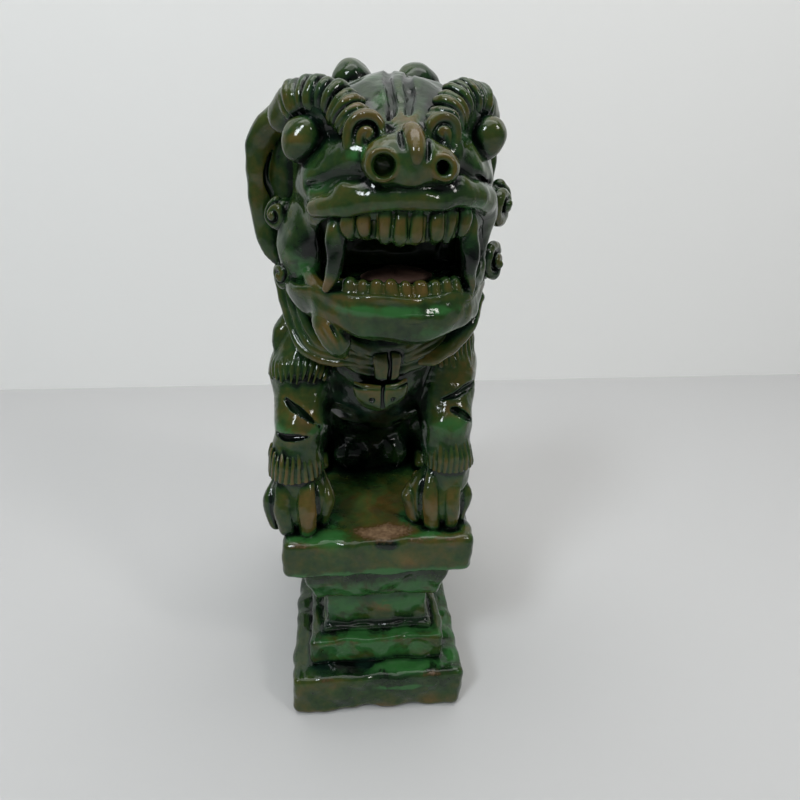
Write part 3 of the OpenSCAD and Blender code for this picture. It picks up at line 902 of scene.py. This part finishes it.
def skull():
    """The face and the back of the head, with the mouth's hole."""
    p = piece("head", ["face_shell", "back_head_shell"], joint=1.6, step=0.5)
    p.add(hegg(SKULL, (32.5, SKULL_WIDE, SKULL_TALL)), 1)
    p.add(limb(H(-1, 10, 192), 28, H(-1, 9, 214), 27), 6)
    p.add(drum(H(-1, -5, 213), 29.5, 30.5, 8, 5), 5)
    p.add(hegg((-17, -14, 220.5), (13.5, 15.5, 10)), 4)
    p.add(hegg((15, -14, 221), (13.5, 15.5, 10)), 4)
    p.add(hegg((0, -24, 230), (9, 9, 8)), 5)
    p.add(hegg((-27, -2, 198), (11.5, 14, 17)), 4)
    p.add(hegg((23, -3, 200), (8.5, 12, 15)), 4)
    p.cut(hblock((-1, -30, 199), (24, 40, 10.8), 3), 1.2)
    p.cut(hblock((-1, -4, 199), (20, 16, 9), 4), 1.2)
    # Temples and the slopes between the eyes and the nose.
    p.add(hegg((-22.5, -3, 235.5), (9.5, 10, 10)), 4)
    p.add(hegg((21.5, -3, 235.5), (9.5, 10, 10)), 4)
    p.add(hegg((-20.5, -13, 237.6), (8, 8, 6)), 3)
    p.add(hegg((17.5, -13, 238), (7, 8, 6)), 3)
    p.add(limb(H(-17.5, -23, 225.5), 5, H(-12.5, -27.6, 227), 6), 4)
    p.add(limb(H(16.0, -22.5, 226.5), 5, H(12, -26.5, 228), 6), 4)
    for top, bottom in ((-2.0, -3.9), (5.4, 0.6)):
        line = []
        for y, lift in ((3, 1.0), (-3, 0.4), (-9, 0.1), (-15, 0.0), (-20, 0.2), (-24, 0.8), (-27, 1.4)):
            x = bottom + (top - bottom) * (y + 27) / 30   # y runs from -27 to 3
            line.append((x, y, skull_top(y, x) + lift, 1.4))
        p.cut(hrope(line, 24), 0.7)
    # Shallow creases of the snarl above the lip.
    p.cut(hrope([(-27, -22.6, 219.0, 0.5), (-22, -28.4, 220.6, 0.9), (-15.5, -32.6, 222.6, 0.6)], 12), 3.0)
    p.cut(hrope([(15.5, -32.0, 222.6, 0.6), (21, -27.5, 221.5, 0.9), (26, -20, 219.8, 0.5)], 12), 3.0)


def jaw_and_lips():
    jaw = piece("lower_jaw", joint=1.8, step=0.45)
    jaw.add(hegg((-1, -5, 189), (31, 31.5, 21.5)), 1)
    jaw.add(hegg((-25, -8, 188), (11.5, 14, 12)), 4)
    jaw.add(hegg((20, -10, 187), (9, 13, 11)), 4)
    jaw.keep(hblock((0, -10, 158.5), (60, 70, 30.5), 0), 1.6)
    jaw.cut(drum(H(-1, -8, 194), 25, 25.5, 12, 4), 1.2)

    lip = piece("upper_lip", joint=2.2, step=0.4)
    lip.add(hrope([
        (-27.0, -22.8, 212.2, 1.5), (-25.4, -25.0, 213.0, 2.8), (-22.2, -28.0, 213.8, 3.3),
        (-17, -31.5, 214.8, 3.4), (-8, -35.2, 215.8, 3.1), (4, -36.2, 216.4, 3.1), (14, -33.4, 217.0, 3.5),
        (22, -26.5, 216.4, 4.1), (27.2, -17.5, 213, 4.3), (28.4, -11, 205.5, 3.4),
        (28.2, -8, 197, 2.4)], 60), 0.6)
    lip.add(hrope([
        (-17, -31.0, 217.5, 3.0), (-6, -33.6, 219.0, 3.4), (6, -33.8, 219.4, 3.4),
        (15, -30.6, 219.6, 3.2)], 20), 3.0)
    low_lip = piece("lower_lip", joint=4.5, step=0.4)
    low_lip.add(hrope([
        (-30.0, -10, 196.5, 1.8), (-28.2, -16, 191.0, 2.0), (-23.2, -24.6, 187.9, 1.9),
        (-14, -31.8, 184.0, 1.9), (0, -35.2, 182.3, 1.9), (8, -34.0, 182.4, 1.9), (15, -30.2, 184.9, 1.9),
        (21, -25.8, 187.2, 1.9), (26.2, -16.5, 191.0, 2.0), (28, -9, 196.5, 1.8)], 50), 0.6)
    jaw.add(hrope([
        (-22, -22, 182.0, 5), (-12, -28.6, 179.8, 5.6), (0, -31.0, 179.0, 5.6), (12, -29, 179.8, 5.6),
        (21, -21, 182.0, 5)], 24), 5)


def rows_of_teeth():
    teeth = piece("upper_teeth", joint=0.5, step=0.28, look="teeth")
    for i in range(8):
        a = math.radians(-90 + (i - 3.35 + 0.12 * math.sin(4.1 * i)) * 9.0)
        x, y = 32.2 * math.cos(a), -3.4 + 32.2 * math.sin(a)
        n = hdir(math.cos(a), math.sin(a), 0)
        fat = 1 + 0.14 * math.sin(2.7 * i + 1)
        end = 203.9 + 0.45 * math.sin(1.9 * i)
        teeth.add(rope([
            H(x * 0.97, y + 1.2, 213.5, 1.9), H(x, y, 210.0, 2.05 * fat),
            H(x * 0.99, y + 0.2, 207.0, 2.1 * fat),
            H(x * 0.96, y + 1.0, end + 1.6, 1.75)], 12, (n, 1.05)), 0.22)
        teeth.add(hblock((x * 0.94, y + 1.8, 208.6), (3.0, 1.6, 4.0), 0.8), 0.5)
    low_teeth = piece("lower_teeth", joint=0.5, step=0.28, look="teeth")
    for i in range(9):
        a = math.radians(-90 + (i - 3.9) * 8.7)
        x, y = 29.0 * math.cos(a), -4 + 29.0 * math.sin(a)
        n = hdir(math.cos(a), math.sin(a), 0)
        top = 193.2 - 0.04 * (i - 4) ** 2 + 0.45 * math.sin(3.1 * i)
        fat = 1 + 0.12 * math.sin(2.3 * i + 2)
        low_teeth.add(rope([
            H(x, y, 183.4, 2.4), H(x * 1.01, y - 0.3, 187.5, 2.6 * fat),
            H(x * 0.99, y + 0.2, top - 2.2, 2.4 * fat)], 9, (n, 1.15)), 0.2)
        low_teeth.add(hblock((x * 0.95, y + 1.4, 188), (2.6, 1.6, 3.6), 0.8), 0.5)


def fang_and_eye(s, side):
    fang = piece(f"{side}_fang", joint=0.7, step=0.3)
    if s < 0:
        pts = [(-19.2, -26.5, 211, 3.2), (-19.8, -29.3, 205, 3.2), (-20.2, -30.0, 199, 2.9),
               (-21.2, -29.4, 194, 2.2), (-23.0, -28.0, 190.0, 1.1)]
    else:
        pts = [(18.6, -26, 211, 3.2), (19.6, -28.2, 205, 3.1), (20.6, -28.4, 198, 2.8),
               (21.4, -27.4, 191.5, 2.1), (22.0, -26.0, 187.0, 1.0)]
    fang.add(hrope(pts, 20), 0.4)
    eye = piece(f"{side}_eye", joint=0.35, step=0.3, look="amber")
    at = (-28.4, -16.0, 231.0) if s < 0 else (26.2, -15.8, 232.4)
    turn = spin("Z", HEAD_TURN + s * 22)
    eye.add(egg(H(*at), (6.5, 6.4, 6.6) if s < 0 else (5.7, 6.0, 6.4), turn), 0.4)
    lid = piece(f"{side}_eyelid", [], joint=1.2, step=0.36)
    look = hdir(s * 0.42, -0.9, 0.02)
    lid.add(ring(np.array(H(*at)) - look * 3.4, 6.4, 1.1, frame_of(look)), 0.4)
    lid.add(egg(np.array(H(*at)) - look * 7.6, (7.6, 6.0, 8.2), turn), 2.0)


def nose_and_bridge():
    nose = piece("nose", joint=1.1, step=0.34)
    nose.add(limb(H(-8.0, -35.6, 224.6), 5.2, H(8.6, -35.4, 224.8), 4.9), 0.6)
    nose.add(limb(H(-0.2, -35.8, 225), 5.4, H(1.2, -30, 231.5), 4.6), 3)
    nose.add(hegg((0, -33.0, 226.5), (12, 6.5, 7)), 3)
    front = frame_of(hdir(0, -1, 0.10))
    nose.add(ring(H(-7.8, -40.1, 225.2), 3.75, 0.7, front), 0.8)
    nose.add(ring(H(8.7, -39.6, 225.0), 2.9, 0.65, front), 0.8)
    nose.cut(limb(H(-7.8, -46, 225.8), 3.25, H(-7.4, -37.4, 225.0), 2.5), 0.5)
    nose.cut(limb(H(8.7, -46, 225.5), 2.4, H(8.3, -35, 225.0), 1.6), 0.5)
    nose.cut(hblock((0, -36, 216.4), (18, 12, 3.0), 1), 1.0)
    for x, low, r in ((-2.5, 229.4, 0.7), (4.2, 227.0, 0.95)):
        nose.cut(hrope([
            (x + 0.6, -34.6, 233.2, 0.5), (x, -37.8, 231.0, r), (x - 0.2, -40.4, low, r * 0.7)], 12), 0.9)
    bridge = piece("nose_bridge", joint=0.7, step=0.3, look="amber")
    bridge.add(hrope([
        (1.2, -31.2, 233.6, 2.6), (1.3, -33.4, 233.4, 2.9), (1.1, -36.8, 231.4, 2.6),
        (0.9, -39.9, 228.4, 2.2), (0.8, -41.0, 226.4, 1.4)], 20), 0.4)


def eyebrow(s, side):
    """Ribs across a thick roll that dives from the temple to the nose's side."""
    brow = piece(f"{side}_brow", joint=0.8, step=0.3, look="amber")
    count = 12
    course = smooth_path([
        (-33.4, -9.0, 240.0), (-31.0, -12.0, 242.8), (-26.5, -15.0, 243.8), (-20.8, -20, 242.6),
        (-16.6, -24.6, 239.4), (-14.0, -27.6, 235.6)], count)
    if s > 0:
        course = course * [-0.84, 1, 1] + [-0.4, 0.4, 0.4]
    brow.add(rope([H(*(q + [0, 3.4, -2.4]), 5.5 - 0.11 * i) for i, q in enumerate(course)], 30), 0.6)
    for i, q in enumerate(course):
        q = q + [0, 0.7 + 0.4 * math.sin(2.3 * i), -0.5 + 0.3 * math.sin(3.7 * i)]
        t = course[min(i + 1, count - 1)] - course[max(i - 1, 0)]
        n = q - np.array([0, 3, 221])
        n = n / np.linalg.norm(n) + [0, -0.35, 0]
        across = np.cross(t, n)
        across *= 1 / np.linalg.norm(across)
        n /= np.linalg.norm(n)
        long = (5.4 - 0.10 * i + 0.3 * math.sin(1.7 * i)) * (0.75 if i == 0 else 1)
        r = 1.5 + 0.12 * math.sin(2.9 * i)
        rib = ((-1.0, -2.4, 1.0), (-0.55, 1.1, 1.05), (0.1, 2.0, 1.1), (0.7, 0.6, 1.0), (1.0, -1.6, 0.8))
        rib = [H(*(q + across * long * along + n * lift), r * k) for along, lift, k in rib]
        brow.add(rope(rib, 12), 0.28)
    c = (-10.6, -30.8, 231.8) if s < 0 else (9.4, -30.4, 232.6)
    dish = []
    for i in range(30):
        t = i / 29
        a = math.radians(150 if s < 0 else 30) - s * t * math.radians(560)
        rad = (5.3 if s < 0 else 4.6) * (1 - t) ** 0.8 + 0.2
        dish.append(H(c[0] + rad * math.cos(a), c[1] - 1.6 * t + 0.12 * rad * s * math.cos(a),
                      c[2] - rad * math.sin(a) * 1.15, 1.8 - 0.35 * t))
    brow.add(rope(dish, 60), 0.3)
    brow.add(hegg((c[0], c[1] + 2.2, c[2]), (5.0, 2.6, 5.6)), 0.8)


def hanging_ear(s, side):
    ear = piece(f"{side}_ear", joint=1.6, step=0.4)
    out, aft = (0, 0) if s < 0 else (-9, 7)
    ear.add(rope([
        H(s * (29 + out), 6 + aft, 238, 4.6), H(s * (36.5 + out), 8 + aft, 236.5, 5),
        H(s * (42 + out), 10 + aft, 230, 5.0), H(s * (43.2 + out), 11 + aft, 218, 5.0),
        H(s * (43 + out), 11 + aft, 206, 5.0), H(s * (41.0 + out), 10 + aft, 196, 4.2),
        H(s * (36.5 + out), 8 + aft, 189.0, 2.2)], 34, (hdir(-s * 0.35, -1, 0), 1.25)), 1)
    ear.add(egg(H(s * (33.5 + out), 13 + aft, 214), (8, 5, 22), HEAD_AXES), 2)
    for k in range(4):
        x = 34.5 + 2.3 * k + out
        ear.cut(rope([
            H(s * (x - 2), 7.5 + 0.4 * k + aft, 231 - k, 0.5), H(s * x, 6.9 + 0.3 * k + aft, 219, 0.9),
            H(s * (x - 2), 7.0 + 0.5 * k + aft, 204 + 2 * k, 0.5)], 10), 0.6)


def curl(name, at, direction, r, hand, start):
    p = piece(name, joint=0.9, step=0.34)
    outward = hdir(*direction)
    c = np.array(H(*at))
    p.add(ball(c - outward * r * 0.55, r * 0.86), 0.5)
    p.add(snail(c, outward, r, 1.6, hand, start), 0.5)


def cheek_and_crown_curls():
    curl("left_cheek_curl_upper", (-37.5, -3, 208.5), (-1, -1.1, 0.1), 5.4, 1, 2.0)
    curl("left_cheek_curl_lower", (-37.0, -6, 190), (-1, -0.8, 0), 5.4, -1, 1.0)
    curl("right_cheek_curl_upper", (36.2, 3, 211.5), (1, -0.75, 0.1), 8.8, -1, 1.0)
    curl("right_cheek_curl_middle", (35.6, 2, 191.5), (1, -0.75, 0), 7.6, 1, 0.5)
    curl("right_cheek_curl_lower", (26.5, -3, 176), (1, -0.8, -0.2), 6.4, -1, 0.0)
    for s, side in SIDES:
        p = piece(f"{side}_crown_curl", joint=3.2, step=0.4)
        c = np.array(H(-12, 19, 248.6) if s < 0 else H(9.5, 20, 248.2))
        p.add(egg(c, (6.8, 8, 6.6), HEAD_AXES), 0.5)
        p.add(limb(c + [1, 0, 1.2], 4.6, c + [8.5, 1, -3.6], 3.0), 3.0)


def rows_of_nape_curls():
    p = piece("nape_curls", joint=1.0, step=0.45)

    def nape_curl(centre, v, out, r, turns, number, start):
        v = HEAD_AXES @ np.array(v)
        c = np.array(centre) + v * out
        p.add(ball(c - v * 3.6, 6.2), 0.5)
        p.add(snail(c, v, r, turns, 1 if number % 2 else -1, start), 0.5)

    for row, (tilt, count, turn) in enumerate(((46, 4, 30), (18, 5, 32), (-9, 5, 32))):
        for i in range(count):
            a = math.radians(90 + (i - (count - 1) / 2) * turn)
            t = math.radians(tilt)
            v = (math.cos(a) * math.cos(t), math.sin(a) * math.cos(t), math.sin(t))
            nape_curl(H(*SKULL), v, 33.0, 8.0, 1.7, row + i, 1.1 * i)
    for i in range(5):
        a = math.radians(90 + (i - 2) * 36)
        nape_curl(H(-2, 11, 197), (math.cos(a), math.sin(a), -0.1), 27.0, 7.6, 1.6, i, 0.7 * i)


def beard_and_mane():
    for s, side in SIDES:
        p = piece(f"{side}_beard_lock", joint=0.9, step=0.34)
        if s < 0:
            p.add(hrope([(-25.0, -20, 182, 2.8), (-23.0, -24.4, 176.5, 4.6), (-20.0, -26.0, 171, 3.8),
                         (-18.2, -25.4, 166.8, 1.2)], 16), 0.5)
            for x in (0, 3.4):
                p.cut(hrope([(-25.8 + x, -28.0, 178.5, 0.4), (-23.6 + x, -30.2, 174, 0.7),
                             (-20.6 + 0.5 * x, -30.0, 169.6, 0.4)], 10), 0.6)
        else:
            for k in range(3):
                p.add(hrope([
                    (28 - 2.2 * k, -12 - k, 182 - 1.5 * k, 2.6),
                    (24 - 2.4 * k, -17.5 - k, 174.5 - 2 * k, 2.8),
                    (17 - 2.4 * k, -21.5 - k, 168.5 - 2 * k, 2.2),
                    (11 - 2 * k, -23, 166 - 1.5 * k, 1.0)], 16), 0.4)

    # Long strands that hang from the jaw's corner over the left shoulder.
    p = piece("mane_strands", [], joint=1.0, step=0.4)
    for k in range(3):
        p.add(rope([
            (-33.5 + 2.7 * k, -33.5 - 1.4 * k, 189 + k, 2.0),
            (-32.6 + 2.7 * k, -36 - 1.5 * k, 178 + k, 2.1),
            (-29.6 + 2.7 * k, -39 - 1.6 * k, 168.5 + k, 2.0),
            (-25.0 + 2.6 * k, -43.5 - 1.2 * k, 161.5 + 1.6 * k, 1.8),
            (-17.0 + 1.5 * k, -48.2 - 0.3 * k, 159.0 + 2.6 * k, 1.5),
            (-6.0, -50.4, 159.5 + 2.2 * k, 1.2)], 28), 0.3)
        p.add(rope([(28.0 - 1.6 * k, -41.0 - 0.6 * k, 170 + 1.5 * k, 1.6),
                    (20 - k, -47.2, 164.5 + 2 * k, 1.7), (9.0, -50.8, 160.4 + 2.2 * k, 1.3)], 14), 0.3)
    p.add(rope([(-31.5, -25, 169, 3.2), (-34.4, -26, 163.5, 4.2), (-35.4, -28, 158, 3.6),
                (-34.2, -30.5, 155, 1.6)], 14), 0.5)


def mouth_floor():
    p = piece("tongue", joint=0.8, step=0.34, look="clay")
    p.add(hegg((-0.7, -15.2, 190.6), (11.6, 9.2, 2.2)), 0.5)
    p.add(limb(H(-1, -8, 186), 6, H(-1, -12, 184), 6), 3)
    p.cut(hrope([(-1.5, -26, 192.6, 0.4), (-1.4, -16, 193.0, 0.6), (-1.4, -8, 192.8, 0.4)], 8), 0.6)


def head():
    skull()
    jaw_and_lips()
    rows_of_teeth()
    for s, side in SIDES:
        fang_and_eye(s, side)
    nose_and_bridge()
    for s, side in SIDES:
        eyebrow(s, side)
        hanging_ear(s, side)
    cheek_and_crown_curls()
    rows_of_nape_curls()
    beard_and_mane()
    mouth_floor()


# ---------------- ribbon and bell

def trim():
    p = piece("collar", joint=1.2, step=0.45)
    loop, upper = [], []
    for i in range(25):
        a = 2 * math.pi * i / 24
        front = max(0.0, -math.sin(a))
        back = max(0.0, math.sin(a))
        x, y = 1.5 + 26.5 * math.cos(a), -24 + 26.0 * math.sin(a)
        z = 171 - 10.5 * front ** 2 + 4.0 * back
        loop.append((x, y, z, 3.0))
        upper.append((x * 0.94, y * 0.99, z + 5.0, 3.0 + 1.2 * front))
    p.add(rope(loop, 60), 0.5)
    p.add(rope(upper, 60), 1.0)
    for x0, x1 in ((-16, -8), (10.5, 19)):
        z0 = 161.2 if x0 < 0 else 162.0
        p.cut(rope([(x0, -46.8 + 0.02 * x0 * x0, z0, 0.4), ((x0 + x1) / 2, -51.2, z0 - 0.6, 0.95),
                    (x1, -52.4, z0 - 0.4, 0.5)], 10), 0.5)
    # Lowest fold, which closes the gap between the band and the bell.
    p.add(rope([(-14, -45.5, 160.5, 2.2), (-6, -49.6, 157.0, 2.5), (2, -50.6, 155.8, 2.6),
                (10, -49.4, 157.0, 2.5), (18, -44.5, 160.5, 2.2)], 24), 1.5)
    p = piece("bell_loop", joint=0.6, step=0.26, look="amber")
    p.add(block((2.5, -51.0, 159.2), (4.6, 4.6, 5.6), 2.2), 0.3)
    p.cut(block((3.3, -56.4, 160.0), (0.5, 3.0, 8), 0.3), 0.5)
    p = piece("bell", joint=0.7, step=0.26, look="amber")
    c = (0.5, -52.0, 152.3)
    p.add(egg(c, (9.8, 5.6, 10.2)), 0.4)
    p.keep(block((c[0], c[1], c[2] - 10), (14, 14, 10), 0.5), 0.6)
    rim = ((-8.8, 1.0, 1.2, 0.7), (-5, 3.4, 0.7, 0.9), (0, 4.4, 0.5, 0.9), (5, 3.4, 0.7, 0.9),
           (8.8, 1.0, 1.2, 0.7))
    p.add(rope([(c[0] + x, c[1] - y, c[2] + z, r) for x, y, z, r in rim], 24), 0.4)
    p.cut(block((c[0] + 1.0, c[1] - 6.0, c[2] - 5), (0.6, 2.8, 8.5), 0.3), 0.4)
    for x, y in ((-2.6, 4.9), (4.5, 4.5)):
        p.cut(ball((c[0] + x, c[1] - y, c[2] - 4.2), 1.1), 0.3)


plinth()
body()
for sign_and_side in SIDES:
    hindquarter(*sign_and_side)
legs()
tail()
head()
trim()


# ---------------- glaze accidents, painted highlights and painted shade

def dabs(what, places):
    """Marks where the glaze missed the clay, ran emerald, thinned to amber or pooled, and where highlights
    and shade are painted.
    """
    for at, radius, strength in places:
        DABS.append((what, np.array(at, float), np.array(radius, float), strength))


FRONT = box_mm("base_slab")[0][1]
dabs("bare", [((2.0, -54.6, deck), (10.5, 4.9, 3), 0.86)])
# Worn edges: the top slab's and the foot's stand at the front, the step's behind it.
for back, edges in ((0, ((-30, 90.4), (-18, 90.6), (2, 90.6), (16, 90.4), (30, 90.2), (-20, 19.4),
                         (24, 19.4))),
                    (4, ((0, 32.8), (-24, 32.8)))):
    dabs("bare", [((x, FRONT + back, z), (7, 2.2, 1.3), 0.44) for x, z in edges])
dabs("emerald_run_and_light", (
        ((-18, -57, deck), (6, 3.5, 4), 0.9), ((10.5, -48, deck), (2.4, 6, 4), 1.0),
        ((24, -58.5, deck), (12, 1.8, 3), 0.8), ((-17, -46, deck), (2.6, 5, 4), 0.9),
        ((0, -28, deck), (16, 14, 4), 0.35), (H(-22, -21, 219), (7, 5, 4), 0.7),
        (H(-9, -36, 213.5), (16, 6, 1.6), 0.4), (H(14, -33, 213.6), (16, 6, 1.8), 0.8),
        (H(0, -36, 184.4), (25, 7, 1.4), 1.3), (H(-30, -8, 193), (5, 8, 6), 1.0),
        # Painted highlight: the first patch, at the lower side of the left brow spiral, stands for a
        # reflection there.
        (H(-13.5, -32, 228.2), (3.0, 4, 2.0), 1.1), (H(12, -24, 233), (5, 6, 4), 1.0),
        (H(-7, -16, 245), (3.5, 8, 5), 0.6), (H(5, -35, 176), (14, 8, 4), 0.4),
        ((28, -48, 134), (9, 7, 4), 0.6), ((-31, -46, 133), (9, 7, 1.6), 0.8),
        ((0, FRONT, 75.4), (37, 5, 2.0), 1.4), ((-2, FRONT + 9, 60.0), (30, 7, 5.5), 1.0),
        ((-14, FRONT + 15, 48), (10, 8, 7), 1.3), ((9, FRONT + 15, 49), (13, 8, 5.5), 1.3),
        ((0, FRONT + 8, 33.6), (30, 6, 1.4), 1.1), ((-8, FRONT + 8, 28), (26, 5, 4.0), 1.2),
        ((11, FRONT, 13.2), (9, 4, 1.0), 1.5), ((14, FRONT + 5, 20.4), (18, 4, 1.4), 0.9),
        # Painted light: the first patch, on the right side of the base, stands for the light that falls on
        # that side.
        ((35, -36, 22), (7, 22, 9), 1.0), ((-28, -58, deck), (10, 2.5, 2.0), 0.8)))
dabs("amber", (
        (H(-26, -17, 189), (6, 6, 5), 0.9), (H(-23, -25, 216), (5, 4, 2.2), 0.9),
        (H(-22, -28, 176), (5, 4, 5), 1.2), (H(1, -36, 231.5), (2.6, 6, 5), 1.7),
        (H(1, -33, 234), (3, 4, 3), 1.3), (H(-30, -20, 231), (3.4, 4, 1.3), 1.1),
        ((13, -54, 103), (3, 6, 10), 1.2), ((26, -57, 101), (8, 7, 9), 0.8),
        ((-27, -56, 103), (3.5, 6, 10), 0.9), ((-32, -43, 138), (4, 6, 5), 0.8),
        ((33, -38, 150), (6, 6, 7), 0.5), (H(0, -32, 191.2), (24, 8, 3.2), 2.2),
        (H(0, -32, 208), (24, 8, 5), 0.8), ((1, -40, deck), (18, 14, 3), 1.0),
        ((-8, FRONT, 82), (28, 4, 5), 0.5), ((30, FRONT + 6, 90), (6, 6, 3), 0.6),
        ((4, FRONT + 15, 45.5), (5.5, 6, 2.8), 1.8),
        ((-16, FRONT + 3, 32), (12, 4, 1.2), 1.1), ((-22, FRONT, 17), (12, 4, 3), 0.5),
        ((24, FRONT, 5), (14, 4, 3), 0.8), ((-8, FRONT, 2), (26, 4, 1.6), 0.8)))
# Painted shade, carried as darker glaze: between the forelegs under the chest, inside the mouth, on the
# plinth's left side, and in bands in the corners under the plinth's ledges. The other marks are darker
# glaze on the plinth's front and on the top of the head.
dabs("thick_glaze_and_shade", (
        ((0, -36, 128), (17, 16, 15), 1.6), ((3, FRONT, 89), (3.5, 3, 2), 1.2),
        ((0, FRONT + 6, 68), (30, 6, 5), 0.3), ((0, FRONT + 8, 36), (34, 8, 1.6), 0.8),
        ((0, FRONT + 5, 21), (34, 8, 1.8), 0.9), ((4, FRONT, 15), (30, 4, 5), 0.35),
        (H(0, -24, 198), (26, 14, 8), 1.2), ((-36, 2, 44), (9, 54, 28), 0.7),
        (H(0, -8, 248), (26, 22, 9), 0.35), ((0, FRONT, 81), (36, 4, 7), 0.12),
        ((0, FRONT, 9), (36, 4, 9), 0.2)))

for one in PIECES:
    build(one)

# ---------------- surroundings

def plain(name, colour, rough):
    m = bpy.data.materials.new(name)
    m.use_nodes = True
    shader = m.node_tree.nodes["Principled BSDF"]
    shader.inputs["Base Color"].default_value = colour
    shader.inputs["Roughness"].default_value = rough
    return m


def panel(name, corners, material):
    mesh = bpy.data.meshes.new(name)
    mesh.from_pydata([Vector(c) for c in corners], [], [(0, 1, 2, 3)])
    mesh.materials.append(material)
    new_object(name, mesh)


WALL_Y = 0.32
panel("floor", [(-3, -3, 0), (3, -3, 0), (3, WALL_Y, 0), (-3, WALL_Y, 0)],
      plain("pale_cloth", (0.54, 0.54, 0.54, 1), 0.9))
panel("wall", [(-3, WALL_Y, 0), (3, WALL_Y, 0), (3, WALL_Y, 3), (-3, WALL_Y, 3)],
      plain("pale_wall", (0.90, 0.90, 0.885, 1), 0.8))


def lamp(name, place, target, size, power, colour=(1, 1, 1)):
    data = bpy.data.lights.new(name, "AREA")
    data.shape = "RECTANGLE"
    data.size, data.size_y = size
    data.energy = power
    data.color = colour
    made = new_object(name, data)
    made.location = place
    made.rotation_euler = (Vector(target) - Vector(place)).to_track_quat("-Z", "Y").to_euler()


lamp("window", (-0.62, -0.80, 1.10), (0, 0, 0.15), (0.24, 0.34), 7.0, (0.90, 0.96, 1.0))
lamp("ceiling", (0.1, -0.15, 1.5), (0, 0, 0.1), (1.6, 1.2), 10.0, (1.0, 0.99, 0.96))
lamp("side", (0.75, -0.75, 0.95), (0, 0, 0.15), (0.16, 0.26), 3.0, (1.0, 0.98, 0.95))
lamp("wall_wash", (0, -0.05, 1.25), (0, WALL_Y, 0.35), (1.4, 0.3), 2.8)

world = bpy.data.worlds.new("room")
world.use_nodes = True
world.node_tree.nodes["Background"].inputs["Color"].default_value = (0.92, 0.96, 1.0, 1)
world.node_tree.nodes["Background"].inputs["Strength"].default_value = 0.14
bpy.context.scene.world = world

# The camera looks down at the figure from the height of its eyes.
CAMERA_MM = Vector((-12.2, -247.5, 233.0))
YAW, PITCH, ROLL = (math.radians(a) for a in (5.82, 23.93, 1.08))
ahead = Vector((math.sin(YAW) * math.cos(PITCH), math.cos(YAW) * math.cos(PITCH), -math.sin(PITCH)))
level = Vector((math.cos(YAW), -math.sin(YAW), 0))
over = level.cross(ahead)
right = level * math.cos(ROLL) + over * math.sin(ROLL)
upward = over * math.cos(ROLL) - level * math.sin(ROLL)
camera_data = bpy.data.cameras.new("camera")
camera_data.lens = 27.01
camera_data.sensor_width = 36.0
camera_data.clip_start = 0.01
camera = new_object("camera", camera_data)
facing = Matrix((right, upward, -ahead)).transposed().to_4x4()
camera.matrix_world = Matrix.Translation(CAMERA_MM * MM) @ facing
bpy.context.scene.camera = camera
bpy.context.scene.view_settings.view_transform = "Standard"
